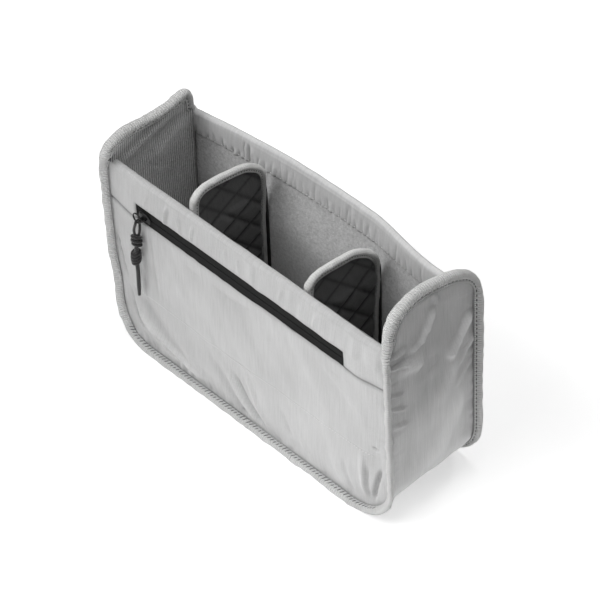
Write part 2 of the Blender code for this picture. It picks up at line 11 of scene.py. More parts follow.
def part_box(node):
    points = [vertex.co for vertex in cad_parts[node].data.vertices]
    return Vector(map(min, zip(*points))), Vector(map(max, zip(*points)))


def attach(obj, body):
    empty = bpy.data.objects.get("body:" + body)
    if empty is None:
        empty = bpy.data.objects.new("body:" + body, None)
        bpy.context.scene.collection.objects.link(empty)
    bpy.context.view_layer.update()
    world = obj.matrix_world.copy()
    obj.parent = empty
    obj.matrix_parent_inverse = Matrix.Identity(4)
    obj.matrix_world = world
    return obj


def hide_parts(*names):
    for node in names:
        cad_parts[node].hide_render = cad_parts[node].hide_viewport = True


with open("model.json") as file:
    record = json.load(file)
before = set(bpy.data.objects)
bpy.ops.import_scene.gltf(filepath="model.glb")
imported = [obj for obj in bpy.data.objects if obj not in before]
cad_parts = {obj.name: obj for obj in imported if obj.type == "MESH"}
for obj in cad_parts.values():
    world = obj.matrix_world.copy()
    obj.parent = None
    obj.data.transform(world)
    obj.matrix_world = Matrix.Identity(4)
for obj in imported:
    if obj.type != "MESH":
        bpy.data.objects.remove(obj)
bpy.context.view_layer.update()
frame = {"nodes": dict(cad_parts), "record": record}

bl_info = {
    "name": "Camera Bag Insert",
    "version": (1, 0, 0),
    "blender": (4, 5, 0),
    "location": "3D View > Sidebar > Insert",
    "description": "Builds a padded camera bag insert with a zip pocket and two lift-out dividers",
    "category": "Add Mesh",
}

# The frame's own sizes, as its solids have them
SEAM_LENGTH = 0.2892
RIM = 0.1715
CORNER_RADIUS = 0.0380
LEAN = math.radians(2.0)
SIN, COS = math.sin(LEAN), math.cos(LEAN)
FRONT_SEAM = -0.0425
BACK_SEAM = 0.0405
BASE_SEAM = 0.0049
EDGE_RAMP = 0.0290
FRONT_SLACK = 0.0035
RIM_SLACK = 0.0012
BACK_FLARE = 0.0113
FLARE_HEIGHT = 0.0650
ZIP_LOW = 0.1353
ZIP_HIGH = 0.1495
ZIP_MIDDLE = 0.1424
ZIP_LEFT = -0.1085
ZIP_RIGHT = 0.1017
INNER_FRONT = 0.0058
INNER_BACK = 0.0051
FACING_FOOT = RIM - 0.0200
CORNER_HEIGHT = BASE_SEAM + CORNER_RADIUS
SIDE_REACH = SEAM_LENGTH / 2 * COS
CORNER_X = (SIDE_REACH - CORNER_RADIUS - CORNER_HEIGHT * SIN) / COS
ARC_LENGTH = CORNER_RADIUS * (math.pi / 2 + LEAN)
STRAIGHT_FOOT = CORNER_HEIGHT + CORNER_RADIUS * SIN
DIVIDERS = (("left", -0.0600), ("right", 0.0550))
DIVIDER_FOOT = 0.0103
DIVIDER_BACK = 0.0332
RING_CENTRE = np.array([-0.1023, -0.0500, 0.1424])
SLIDER_X = -0.0983

# Sizes of the cloth
CLOTH = 0.0006
THIN_CLOTH = 0.0005
OVERHANG = 0.0010
HEM_DROP = 0.0009
FORWARD, BACKWARD, UPWARD = (0.0, -1.0, 0.0), (0.0, 1.0, 0.0), (0.0, 0.0, 1.0)
TINY = 0.00001


def metres(name, description, default, low, high):
    return bpy.props.FloatProperty(
        name=name, description=description, default=default, min=low, max=high, unit="LENGTH")


def grey(name, description, level, blue=None):
    return bpy.props.FloatVectorProperty(
        name=name, description=description, default=(level, level, level if blue is None else blue),
        size=3, min=0.0, max=1.0, subtype="COLOR")


class InsertSizes(bpy.types.PropertyGroup):
    """Sizes that a user may change"""
    grid: metres("Cloth grid", "Distance between the points of a cloth surface", 0.0013, 0.0008, 0.01)
    fold: bpy.props.FloatProperty(
        name="Fold strength", description="Share of the full height of the folds and puckers",
        default=1.0, min=0.0, max=2.0, subtype="FACTOR")
    flange: metres("Binding flange", "How far the seam binding stands out from a long seam",
                   0.0066, 0.003, 0.012)
    flange_half: metres("Binding half thickness", "Half the thickness of the seam binding on a long seam",
                        0.0023, 0.001, 0.004)
    stitch_pitch: metres("Stitch pitch", "Distance between the stitches of a seam", 0.0032, 0.002, 0.006)
    quilt: metres("Quilt diamond", "Diagonal of one diamond of the dividers' quilting", 0.0232, 0.01, 0.05)


class InsertColours(bpy.types.PropertyGroup):
    """Colours of the finishes"""
    shell: grey("Shell cloth", "Outer cloth of the walls", 0.475)
    binding: grey("Binding tape", "Tape on the seams", 0.71, 0.705)
    # Lighter than the shell cloth: partly its own tone, partly painted light from above on the back wall's
    # cloth and its inner band
    facing: grey("Facing", "Cloth band inside the rims", 0.62)
    loop: grey("Loop lining", "Brushed lining of the walls", 0.54)
    knit: grey("Knit lining", "Ribbed knit inside the ends", 0.52)
    foam: grey("Foam", "Closed-cell boards in the walls", 0.20)
    pocket: grey("Pocket lining", "Cloth behind the zip pocket", 0.30)
    zip_tape: grey("Zip tape", "Woven tape of the zip", 0.013)
    coil: grey("Zip coil", "Nylon coil behind the tapes", 0.03)
    metal: grey("Dark metal", "Slider, ring and stops", 0.028)
    cord: grey("Pull cord", "Braided cord of the pull", 0.013)
    quilt: grey("Quilted cloth", "Faces of the dividers", 0.058)
    edge: grey("Divider tape", "Tape round the dividers", 0.67, 0.66)
    hook: grey("Hook strip", "Hook tape on the dividers' upright edges", 0.012)
    thread: grey("Thread", "Light sewing thread", 0.68)
    # On the seam binding this colour also paints the shade of the stitch holes and twists beside the light
    # stitches
    dark_thread: grey("Dark thread", "Dark sewing thread of the binding and the dividers", 0.11)
    floor: grey("Floor", "Studio floor", 0.92)


# Shape functions

def smooth(share):
    """0 to 1 with level ends: 3 s squared minus 2 s cubed."""
    share = np.clip(share, 0.0, 1.0)
    return share * share * (3 - 2 * share)


def bell(away, width):
    """One at nought, falling evenly to both sides: e to the minus square of away over width."""
    return np.exp(-(away / width) ** 2)


def fade(away, reach):
    """One at nought, then divided by e for every reach."""
    return np.exp(-away / reach)


def side_x(z, inset=0.0):
    """Half the insert's length at a height on its leaning sides."""
    return (SIDE_REACH - inset - z * SIN) / COS


def half_width(z, inset=0.0):
    """Half the length of the U outline at a height: a leaning line above a quarter circle."""
    radius = CORNER_RADIUS - inset
    rise = np.where(z > CORNER_HEIGHT, z - CORNER_HEIGHT, np.clip(CORNER_HEIGHT - z, 0.0, radius))
    arc = CORNER_X + np.sqrt(np.maximum(radius**2 - rise**2, 0.0))
    return np.where(z >= CORNER_HEIGHT + radius * SIN, side_x(z, inset), arc)


RIM_WIDTH = float(half_width(np.array(RIM)))


def to_side(x, z, inset=0.0):
    """Distance of a point of the front or back wall from the wall's end seam."""
    return half_width(z, inset) - np.abs(x)


def front_stand(x, z):
    """How far the front cloth stands out: level in the middle, falling smoothly to the seams and the rim."""
    side = smooth(to_side(x, z) / EDGE_RAMP)
    foot = smooth((z - BASE_SEAM) / EDGE_RAMP)
    head = smooth((z - ZIP_HIGH) / (RIM - ZIP_HIGH))
    return side * foot * (FRONT_SLACK + (RIM_SLACK - FRONT_SLACK) * head)


def back_stand(x, z):
    """How far the back wall flares out: a parabola along its length, growing smoothly towards the rim."""
    rise = smooth((z - RIM + FLARE_HEIGHT) / FLARE_HEIGHT)
    return BACK_FLARE * (1 - (x / half_width(z)) ** 2) * rise


def hoop(along, inset=0.0):
    """Point and outward direction on the U outline at a distance from the middle of the base: a level
    line, then a circle through 92 degrees, then a line that leans in by 2 degrees."""
    side = np.where(along < 0, -1.0, 1.0)
    far = np.abs(along)
    angle = np.clip((far - CORNER_X) / CORNER_RADIUS, 0.0, math.pi / 2 + LEAN) - math.pi / 2
    rise = np.maximum(far - CORNER_X - ARC_LENGTH, 0.0)
    radius = CORNER_RADIUS - inset
    out_x, out_z = np.cos(angle), np.sin(angle)
    x = np.minimum(far, CORNER_X) + radius * out_x - rise * SIN
    return side * x, CORNER_HEIGHT + radius * out_z + rise * COS, side * out_x, out_z


def along_at(z):
    """Distance along the U outline of a height on its straight side."""
    return CORNER_X + ARC_LENGTH + (z - STRAIGHT_FOOT) / COS


def soft_noise(u, v, cell_u, cell_v, seed):
    """Smooth noise from -1 to 1: random heights on a lattice, blended smoothly between its corners."""
    table = np.random.default_rng(seed).uniform(-1.0, 1.0, (61, 67))
    a, b = np.broadcast_arrays(np.asarray(u) / cell_u, np.asarray(v) / cell_v)
    i, j = np.floor(a).astype(int), np.floor(b).astype(int)
    fa, fb = smooth(a - i), smooth(b - j)
    low = table[i % 61, j % 67] * (1 - fa) + table[(i + 1) % 61, j % 67] * fa
    high = table[i % 61, (j + 1) % 67] * (1 - fa) + table[(i + 1) % 61, (j + 1) % 67] * fa
    return low * (1 - fb) + high * fb


def noises(u, v, *rows):
    """Sum of smooth noises. A row is (height, cell in u, cell in v, seed)."""
    return sum(row[0] * soft_noise(u, v, *row[1:]) for row in rows)


def creases(u, v, lines):
    """Sum of folds: each is a straight crest from one point to another with a bell-shaped section and
    fading ends. A line is (u, v, u, v, width, height), in tenths of a millimetre."""
    total = np.zeros(np.broadcast(u, v).shape)
    for line in lines:
        u0, v0, u1, v1, width, height = (number / 10000 for number in line)
        du, dv = u1 - u0, v1 - v0
        reach = math.hypot(du, dv)
        share = ((u - u0) * du + (v - v0) * dv) / reach**2
        away = ((u - u0) * dv - (v - v0) * du) / reach
        total += height * (smooth((share + 0.15) / 0.4) * smooth((1.15 - share) / 0.4)) * bell(away, width)
    return total


def puckers(along, away, reach, seed, pitch):
    """Short ridges square to a seam: noise along the seam, dying away from it."""
    ridge = noises(along, away, (1.0, pitch, reach * 2, seed), (0.5, pitch / 2.3, reach, seed + 1))
    return ridge * fade(np.maximum(away, 0.0), reach)


def settle(points):
    """How the soft shell settles: the left end stands more upright and its foot is drawn in, the front
    foot is pushed forward towards the left, and the back wall is pulled in near the right end."""
    x, y, z = points.T
    left = smooth((-x - 0.112) / 0.025)
    drawn = 0.0046 * smooth((0.090 - z) / 0.040) * smooth((z - 0.004) / 0.016)
    drawn = drawn - 0.0016 * smooth((z - 0.09) / 0.05) * smooth((0.192 - z) / 0.022)
    pushed = 0.0029 * np.clip((0.13 - x) / 0.27, 0, 1) * smooth((0.045 - z) / 0.035)
    pushed = pushed * smooth((-0.018 - y) / 0.02)
    pulled = back_stand(x, z) * smooth((x - 0.034) / 0.080) * smooth((y - 0.018) / 0.016)
    return np.stack([x + left * drawn, y - pushed - np.maximum(pulled, 0), z], 1)


# Mesh helpers

def grid_of(x, y, z):
    """Points from three arrays that broadcast to one grid."""
    return np.stack(np.broadcast_arrays(x, y, z), -1)


def turns(count):
    """Equal steps round a circle."""
    return np.linspace(0, 2 * math.pi, count, endpoint=False)


def unit(vectors):
    return vectors / np.maximum(np.linalg.norm(vectors, axis=-1, keepdims=True), 1e-12)


def frames_along(path, closed=False):
    """Unit directions along a path, from differences of neighbours."""
    return unit(np.roll(path, -1, 0) - np.roll(path, 1, 0) if closed else np.gradient(path, axis=0))


def lengths_along(path, closed=False):
    """Distance from a path's start to each of its points, and once more to the start if it is closed."""
    ring = np.concatenate([path, path[:1]]) if closed else path
    return np.concatenate([[0.0], np.cumsum(np.linalg.norm(np.diff(ring, axis=0), axis=1))])


def at_places(places, along, values):
    """Rows of values at other places along their own distances."""
    return np.stack([np.interp(places, along, column) for column in values.T], 1)


def drawn_in(path, inset, closed=False):
    """A path in Y and Z drawn in by an inset, and its direction outwards."""
    ahead = frames_along(path, closed)
    out = np.stack([-ahead[:, 1], ahead[:, 0]], 1)
    return path - out * inset, out


def smooth_route(points, steps):
    """A Catmull-Rom curve through the points."""
    p = np.concatenate([[2 * points[0] - points[1]], points, [2 * points[-1] - points[-2]]])
    a, b, c, d = (p[i:len(p) - 3 + i, None] for i in range(4))
    t = np.linspace(0, 1, steps, endpoint=False)[None, :, None]
    made = (2 * b + (c - a) * t + (2 * a - 5 * b + 4 * c - d) * t**2 + (3 * b - a - 3 * c + d) * t**3) / 2
    return np.concatenate([made.reshape(-1, points.shape[1]), points[-1:]])


def sheet_data(points, across, along, wrap_rows=False, wrap_columns=False, keep=None, caps=False, painted_shading=0.0,
               outward=None):
    """A grid of points as mesh arrays. Rows and columns may close on themselves, open ends of a tube get
    caps, and faces are turned outwards: by the sign of the volume, or by a direction for an open sheet."""
    rows, columns = points.shape[:2]
    index = np.arange(rows * columns).reshape(rows, columns)
    row_ring = np.append(np.arange(rows), 0) if wrap_rows else np.arange(rows)
    column_ring = np.append(np.arange(columns), 0) if wrap_columns else np.arange(columns)
    full = index[np.ix_(row_ring, column_ring)]
    place = np.stack([np.broadcast_to(across, full.shape), np.broadcast_to(along, full.shape)], -1)

    def corners(grid):
        return np.stack([grid[:-1, :-1], grid[:-1, 1:], grid[1:, 1:], grid[1:, :-1]], 2)

    quads, corner_uv = corners(full), corners(place)
    if keep is not None:
        quads, corner_uv = quads[keep], corner_uv[keep]
    quads, corner_uv = quads.reshape(-1, 4), corner_uv.reshape(-1, 2)
    loops, sizes = quads.ravel(), np.full(len(quads), 4)
    if caps:
        loops = np.concatenate([loops, full[0, :-1][::-1], full[-1, :-1]])
        corner_uv = np.concatenate([corner_uv, place[0, :-1][::-1], place[-1, :-1]])
        sizes = np.concatenate([sizes, [columns, columns]])
    flat = points.reshape(-1, 3)
    a, b, c, d = (flat[quads[:, k]] for k in range(4))
    if outward is None:
        a, b, c, d = (corner - flat.mean(0) for corner in (a, b, c, d))
        turn = (np.einsum("ij,ij->i", a, np.cross(b, c)) + np.einsum("ij,ij->i", a, np.cross(c, d))).sum()
    else:
        turn = (np.cross(c - a, d - b) @ np.asarray(outward, float)).sum()
    if turn < 0:
        loops, corner_uv, sizes = loops[::-1], corner_uv[::-1], sizes[::-1]
    used, loops = np.unique(loops, return_inverse=True)
    # Painted shade of each point: darker where positive, painted light where negative
    shade = np.broadcast_to(painted_shading, (rows, columns)).reshape(-1)
    return {"points": flat[used], "loops": loops.reshape(-1), "sizes": sizes, "uv": corner_uv,
            "painted_shading": shade[used]}


def make_object(name, parts):
    """One mesh object from several sets of mesh arrays."""
    def joined(key, kind=np.float32):
        return np.concatenate([part[key] for part in parts]).astype(kind)

    mesh = bpy.data.meshes.new(name)
    counts = np.cumsum([0] + [len(part["points"]) for part in parts])
    loops = np.concatenate([part["loops"] + start for part, start in zip(parts, counts)])
    sizes = joined("sizes", int)
    mesh.vertices.add(int(counts[-1]))
    mesh.vertices.foreach_set("co", joined("points").ravel())
    mesh.loops.add(len(loops))
    mesh.loops.foreach_set("vertex_index", loops.astype(np.int32))
    mesh.polygons.add(len(sizes))
    mesh.polygons.foreach_set("loop_start", (np.cumsum(sizes) - sizes).astype(np.int32))
    mesh.polygons.foreach_set("use_smooth", np.ones(len(sizes), bool))
    mesh.uv_layers.new(name="UVMap").uv.foreach_set("vector", joined("uv").ravel())
    # The points' painted shade and light, which the finishes darken or lighten by
    mesh.attributes.new("painted_shading", "FLOAT", "POINT").data.foreach_set("value", joined("painted_shading"))
    mesh.update(calc_edges=True)
    mesh.validate()
    made = bpy.data.objects.new(name, mesh)
    bpy.context.scene.collection.objects.link(made)
    return made


def dress(piece, slot, body, *nodes):
    """Gives a piece its finish and its body, and hides the solids it stands for."""
    piece.data.materials.clear()
    piece.data.materials.append(finish(slot))
    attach(piece, body)
    if body == "shell":
        places = np.empty(len(piece.data.vertices) * 3, np.float32)
        piece.data.vertices.foreach_get("co", places)
        settled = settle(places.reshape(-1, 3).astype(float))
        piece.data.vertices.foreach_set("co", settled.astype(np.float32).ravel())
        piece.data.update()
    if nodes:
        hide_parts(*nodes)
    return piece


def put(name, parts, slot, body, *nodes):
    """A dressed piece made of mesh arrays."""
    return dress(make_object(name, parts), slot, body, *nodes)


def lay(name, points, across, along, outward, thickness, slot, *nodes, painted_shading=0.0, keep=None):
    """An open sheet of the shell with its thickness behind its face, dressed for the solids it replaces."""
    piece = make_object(name, [sheet_data(points, across, along, keep=keep, painted_shading=painted_shading, outward=outward)])
    solid = piece.modifiers.new("Cloth thickness", "SOLIDIFY")
    solid.thickness = thickness
    solid.offset = -1.0
    return dress(piece, slot, "shell", *nodes)


# Narrowed ends of a tube, in shares of its radius: how far they reach past the path and their own radius
TIP_REACH, TIP_SHARE = 0.45, 0.55


def tube_data(path, radii, sides=12, up=BACKWARD):
    """A round tube along a path with its own radius at each point and narrowed ends: a circle square to
    the path, kept level with a chosen direction."""
    path = np.asarray(path, float)
    radii = np.broadcast_to(radii, len(path)).astype(float).copy()
    along = frames_along(path)
    side = unit(np.cross(along, np.asarray(up, float)))
    over = np.cross(side, along)
    path = np.concatenate([path[:1] - along[:1] * radii[0] * TIP_REACH, path,
                           path[-1:] + along[-1:] * radii[-1] * TIP_REACH])
    radii = np.concatenate([[radii[0] * TIP_SHARE], radii, [radii[-1] * TIP_SHARE]])
    side, over = (np.concatenate([s[:1], s, s[-1:]]) for s in (side, over))
    angle = turns(sides)
    ring = side[:, None] * np.cos(angle)[None, :, None] + over[:, None] * np.sin(angle)[None, :, None]
    points = path[:, None] + ring * radii[:, None, None]
    around = np.linspace(0, 2 * math.pi * radii.mean(), sides + 1)
    return sheet_data(points, around[None, :], lengths_along(path)[:, None], wrap_columns=True, caps=True)


def rounded_block(centre, halves, power=4.0, rows=14, columns=24, taper=0.0):
    """A superellipsoid: a block whose edges are rounded by powers of sine and cosine. Taper narrows it
    along X."""
    def bent(value):
        return np.sign(value) * np.abs(value) ** (2.0 / power)

    phi = np.linspace(-math.pi / 2 + 0.02, math.pi / 2 - 0.02, rows)[:, None]
    theta = turns(columns)[None, :]
    x = bent(np.cos(phi)) * bent(np.cos(theta))
    z = bent(np.cos(phi)) * bent(np.sin(theta)) * (1 - taper * x)
    points = grid_of(x, bent(np.sin(phi)), z) * np.asarray(halves) + np.asarray(centre)
    around = np.linspace(0, 0.02, columns + 1)[None, :]
    return sheet_data(points, around, np.linspace(0, 0.01, rows)[:, None], wrap_columns=True, caps=True)


def stitch_data(centres, directions, normals, length, width, sink=0.25):
    """Small capsules, one for each stitch: an ellipse section that narrows to both ends, all from one
    template."""
    directions, normals = unit(directions), unit(normals)
    sides = unit(np.cross(directions, normals))
    t = np.array([-0.5, -0.3, 0.3, 0.5])
    swell = np.array([0.35, 1.0, 1.0, 0.35])
    angle = turns(6)
    count, size = len(centres), len(t) * len(angle)
    high = swell[:, None] * np.sin(angle)[None, :] * width * 0.5
    wide = swell[:, None] * np.cos(angle)[None, :] * width * 0.5
    points = (centres[:, None, None] + directions[:, None, None] * (t * length)[None, :, None, None]
              + normals[:, None, None] * (high - width * sink)[None, :, :, None]
              + sides[:, None, None] * wide[None, :, :, None])
    template = sheet_data(points[0], np.linspace(0, width * 3, len(angle) + 1)[None, :],
                          (t * length)[:, None], wrap_columns=True, caps=True)
    loops = (template["loops"][None] + (np.arange(count) * size)[:, None]).ravel()
    return {"points": points.reshape(-1, 3), "loops": loops, "sizes": np.tile(template["sizes"], count),
            "uv": np.tile(template["uv"], (count, 1)), "painted_shading": np.zeros(count * size)}


def stitches_on(path, normals, pitch, length=0.0022, width=0.0006, closed=False, lift=0.0, turn=0.0,
                start=0.5):
    """A row of stitches along a path that lies on a surface, at equal distances, turned aside if asked."""
    normals = np.broadcast_to(normals, path.shape)
    along = lengths_along(path, closed)
    if closed:
        path, normals = (np.concatenate([rows, rows[:1]]) for rows in (path, normals))
    count = max(int(along[-1] / pitch), 1)
    at = (np.arange(count) + start) * along[-1] / count
    out = at_places(at, along, normals)
    ahead = unit(at_places(at + length / 4, along, path) - at_places(at - length / 4, along, path))
    centres = at_places(at, along, path) + out * lift
    return stitch_data(centres, ahead + turn * np.cross(out, ahead), out, length, width)


def wall_stitches(name, line, face, level, facing, pitch, *shape, **where):
    """A row of light stitches on a wall that faces forward or backward."""
    row = stitches_on(grid_of(line, face, level), facing, pitch, *shape, **where)
    return put(name, [row], "thread", "shell")


# Finishes

PLAIN = (1.0, 1.0, 1.0)


def weave(pitch=0.0005, mottle=0.05, streak=0.05, blotch=0.03, grid=0.0, bar=0.0):
    """Textures of plain woven cloth: two crossed sets of threads, thick and thin yarns as streaks, a
    ripstop grid of heavier yarns and soft blotches."""
    return ((0.0, 0.5, "threads", "UV", pitch, "X"), (0.0, 0.5, "threads", "UV", pitch, "Y"),
            (streak * 2, 0.8, "noise", "UV", 1.0, 2.0, (1400.0, 60.0, 1.0)),
            (streak, 0.0, "noise", "UV", 1.0, 2.0, (60.0, 1400.0, 1.0)),
            (mottle, 0.6, "noise", "UV", 2600.0, 2.0), (blotch * 2, 0.0, "noise", "Object", 28.0, 3.0),
            (streak * 2.5, 1.5, "noise", "UV", 1.0, 2.0, (620.0, 36.0, 1.0)),
            (mottle * 1.6, 1.5, "noise", "UV", 700.0, 3.0), (grid, 0.0, "threads", "UV", 0.0016, "X"),
            (bar, bar * 30, "threads", "UV", 0.0019, "Y"))


TWISTED = ((0.2, 1.0, "threads", "UV", 0.0005, "Y"), (0.25, 0.0, "noise", "Object", 900.0, 2.0))
# A surface's painted shading weight says how strongly the pieces' painted shade and light change the finish's
# colour
DULL = {"roughness": 0.8, "sheen": 0.15, "relief": 0.00006, "painted_shading": 0.5}

# Each slot's colour, surface and textures. A texture is its weight in the colour, its weight in the relief,
# its kind, its map, its scale or pitch, its detail or axis, and if need be its stretch and turn
MATERIALS = {
    "shell_cloth": ("shell", {**DULL, "roughness": 0.42, "sheen": 0.05, "specular": 0.5, "painted_shading": 0.7},
                    weave(streak=0.10, mottle=0.13, blotch=0.06, grid=0.05, bar=0.03)),
    "binding_tape": ("binding", {**DULL, "roughness": 0.9, "relief": 0.00018, "painted_shading": 0.75},
                     weave(pitch=0.0007, mottle=0.09, blotch=0.10, bar=0.15)),
    "facing_cloth": ("facing", DULL, weave(streak=0.09, mottle=0.09, blotch=0.06)),
    "pocket_lining": ("pocket", DULL, weave()),
    "quilted_cloth": ("quilt", {**DULL, "roughness": 0.85, "relief": 0.0001, "painted_shading": 0.95},
                      weave(pitch=0.0006, mottle=0.2, streak=0.15, blotch=0.12)),
    "divider_binding": ("edge", {**DULL, "roughness": 0.85, "relief": 0.0001},
                        weave(pitch=0.0007, mottle=0.12, bar=0.05)),
    # Brushed loop pile: small tufts over clumps
    "loop_lining": ("loop", {"roughness": 1.0, "sheen": 0.4, "relief": 0.0006, "painted_shading": 0.5},
                    ((0.8, 0.6, "noise", "Object", 1500.0, 3.0), (0.8, 0.6, "noise", "Object", 420.0, 3.0),
                     (0.16, 0.0, "noise", "Object", 60.0, 2.0))),
    # Ribbed knit: upright wales with small courses across them and fuzz over all
    "end_lining": ("knit", {"roughness": 1.0, "sheen": 0.35, "relief": 0.0006, "painted_shading": 0.5},
                   ((0.62, 0.6, "threads", "UV", 0.0019, "X"), (0.30, 0.3, "threads", "UV", 0.001178, "Y"),
                    (0.6, 0.5, "noise", "Object", 1300.0, 3.0), (0.55, 0.5, "noise", "Object", 480.0, 3.0),
                    (0.25, 0.0, "noise", "Object", 45.0, 2.0))),
    # Closed-cell foam: fine cells and faint blotches
    "foam": ("foam", {"roughness": 0.95, "relief": 0.0002},
             ((0.4, 1.0, "cells", "Object", 1400.0), (0.15, 0.0, "noise", "Object", 90.0, 2.0))),
    # Zip tape: a fine twill with slanted ribs and a little lint
    "zip_tape": ("zip_tape", {"roughness": 0.9, "specular": 0.12, "relief": 0.00015, "painted_shading": 0.6},
                 ((0.35, 0.8, "threads", "UV", 0.0009, "X", PLAIN, 38.0),
                  (0.2, 0.4, "threads", "UV", 0.00054, "Y"), (0.5, 0.3, "noise", "Object", 700.0, 3.0),
                  (0.3, 0.0, "noise", "Object", 60.0, 2.0))),
    "zip_coil": ("coil", {"roughness": 0.45, "relief": 0.0002},
                 ((0.3, 1.0, "threads", "Object", 0.0009, "X"), (0.2, 0.0, "noise", "Object", 600.0, 2.0))),
    # Plated die-cast metal: soft tarnish, fine scratches and rubbed roughness
    "dark_metal": ("metal", {"roughness": 0.38, "metallic": 1.0, "specular": 0.5, "relief": 0.00005,
                             "rub": (0.25, 0.12)},
                   ((0.5, 0.5, "noise", "Object", 260.0, 4.0),
                    (0.35, 0.6, "noise", "Object", 900.0, 2.0, (1.0, 1.0, 0.08)))),
    # Braided cord: two crossing sets of slanted strands along the cord's own map
    "pull_cord": ("cord", {"roughness": 0.8, "sheen": 0.3, "relief": 0.0003},
                  ((0.5, 0.5, "threads", "UV", 0.0014, "X", PLAIN, 40.0),
                   (0.5, 0.5, "threads", "UV", 0.0014, "X", PLAIN, -40.0),
                   (0.5, 0.2, "noise", "Object", 1500.0, 3.0))),
    "hook_strip": ("hook", {"roughness": 0.6, "relief": 0.0005},
                   ((0.7, 0.8, "noise", "Object", 1300.0, 2.0),
                    (0.4, 0.6, "threads", "Object", 0.0012, "Z"))),
    "thread": ("thread", {"roughness": 0.7, "sheen": 0.2, "relief": 0.0001}, TWISTED),
    "dark_thread": ("dark_thread", {"roughness": 0.7, "sheen": 0.2, "relief": 0.0001}, TWISTED),
}
FINISHES = {}


def link(tree, output, socket):
    tree.links.new(output, socket)


def new_node(tree, kind, **values):
    made = tree.nodes.new(kind)
    for name, value in values.items():
        setattr(made, name, value)
    return made


def set_inputs(node, **values):
    for name, value in values.items():
        node.inputs[name.replace("_", " ")].default_value = value


def multiply_add(tree, socket, factor, plus):
    """A socket times a number, plus a number or another socket."""
    step = new_node(tree, "ShaderNodeMath", operation="MULTIPLY_ADD")
    link(tree, socket, step.inputs[0])
    step.inputs[1].default_value = factor
    if isinstance(plus, bpy.types.NodeSocket):
        link(tree, plus, step.inputs[2])
    else:
        step.inputs[2].default_value = plus
    return step.outputs[0]


def weighted(tree, start, terms):
    """start plus each term's texture, less a half, times its weight."""
    total = start - sum(weight for _, weight in terms) / 2
    for output, weight in terms:
        total = multiply_add(tree, output, weight, total)
    return total


def texture(tree, kind, space, size, detail=None, stretch=PLAIN, turn=0.0):
    """One grey texture on the piece's own map or in object space, stretched and turned: noise, foam cells,
    or threads, which are rounded bands at a pitch across the axis that detail names."""
    mapping = new_node(tree, "ShaderNodeMapping")
    set_inputs(mapping, Scale=stretch, Rotation=(0.0, 0.0, math.radians(turn)))
    link(tree, new_node(tree, "ShaderNodeTexCoord").outputs[space], mapping.inputs["Vector"])
    if kind == "threads":
        made = new_node(tree, "ShaderNodeTexWave", wave_type="BANDS", wave_profile="SIN",
                        bands_direction=detail)
        set_inputs(made, Scale=math.pi / (10 * size), Distortion=0.0)
    elif kind == "noise":
        made = new_node(tree, "ShaderNodeTexNoise")
        set_inputs(made, Scale=size, Detail=detail)
    else:
        made = new_node(tree, "ShaderNodeTexVoronoi")
        set_inputs(made, Scale=size)
    link(tree, mapping.outputs["Vector"], made.inputs["Vector"])
    return made.outputs["Distance" if kind == "cells" else "Fac"]


def new_material(name, base, roughness, metallic=0.0, sheen=0.0, specular=0.25):
    made = bpy.data.materials.new(name)
    made.use_nodes = True
    shader = made.node_tree.nodes["Principled BSDF"]
    set_inputs(shader, Base_Color=(*base, 1.0), Roughness=roughness, Metallic=metallic, Sheen_Weight=sheen,
               Sheen_Roughness=0.5, Specular_IOR_Level=specular)
    return made, shader


def textured(name, base, rows, relief, painted_shading=0.0, rub=(), **surface):
    """A material whose base colour is times one plus the weighted textures, and darker by the painted shade
    that the piece's attribute holds, lighter where it is negative. The same textures raise its relief, and
    rub roughens it."""
    made, shader = new_material(name, base, **surface)
    tree = made.node_tree
    rows = [row for row in rows if row[0] or row[1]]
    sockets = [texture(tree, *row[2:]) for row in rows]
    tones, heights = ([(socket, row[k]) for socket, row in zip(sockets, rows) if row[k]] for k in (0, 1))
    factor = weighted(tree, 1.0, tones)
    if painted_shading:
        attribute = new_node(tree, "ShaderNodeAttribute", attribute_name="painted_shading")
        factor = multiply_add(tree, attribute.outputs["Fac"], -painted_shading, factor)
    tint = new_node(tree, "ShaderNodeVectorMath", operation="SCALE")
    tint.inputs[0].default_value = base
    link(tree, factor, tint.inputs["Scale"])
    link(tree, tint.outputs[0], shader.inputs["Base Color"])
    bump = new_node(tree, "ShaderNodeBump")
    set_inputs(bump, Distance=relief, Strength=1.0)
    link(tree, weighted(tree, 0.5, heights), bump.inputs["Height"])
    link(tree, bump.outputs["Normal"], shader.inputs["Normal"])
    if rub:
        roughness = weighted(tree, surface["roughness"], list(zip(sockets, rub)))
        link(tree, roughness, shader.inputs["Roughness"])
    return made


def finish(slot):
    """The material of a slot, made at its first use."""
    if slot not in FINISHES:
        tint, surface, rows = MATERIALS[slot]
        base = getattr(bpy.context.scene.insert_colours, tint)
        FINISHES[slot] = textured(slot, base, rows, **surface)
    return FINISHES[slot]


# Cloth of the walls

FRONT_FOLDS = (
    (-1120, 340, -513, 129, 28, 30), (-1064, 265, -560, 90, 20, -26), (-1290, 430, -1120, 215, 18, -22),
    (-1200, 580, -660, 180, 75, -16), (-330, 440, -30, 90, 55, -14), (-1200, 420, -800, 110, 20, 14),
    (-201, 430, 116, 98, 26, 28), (-110, 450, 170, 98, 20, -26), (-7, 582, 220, 129, 24, 16),
    (375, 452, 481, 249, 30, -10), (-940, 1320, -931, 721, 16, -8), (-900, 1300, -885, 750, 22, 6),
    (1277, 745, 1325, 732, 12, -16), (1180, 600, 1210, 140, 24, 18), (1230, 500, 1240, 180, 14, -14),
    (1340, 540, 1275, 190, 13, -32), (-1180, 1050, -1040, 700, 30, -10), (-1320, 560, -1180, 300, 16, -18),
    (-1380, 1000, -1330, 640, 16, -16), (-820, 1320, -650, 900, 50, 6), (800, 1250, 1200, 1000, 40, 7),
    (900, 380, 1010, 120, 30, 10), (1010, 420, 1080, 120, 22, -12), (-700, 330, -400, 110, 34, 9),
    (550, 380, 680, 110, 26, 8),
)
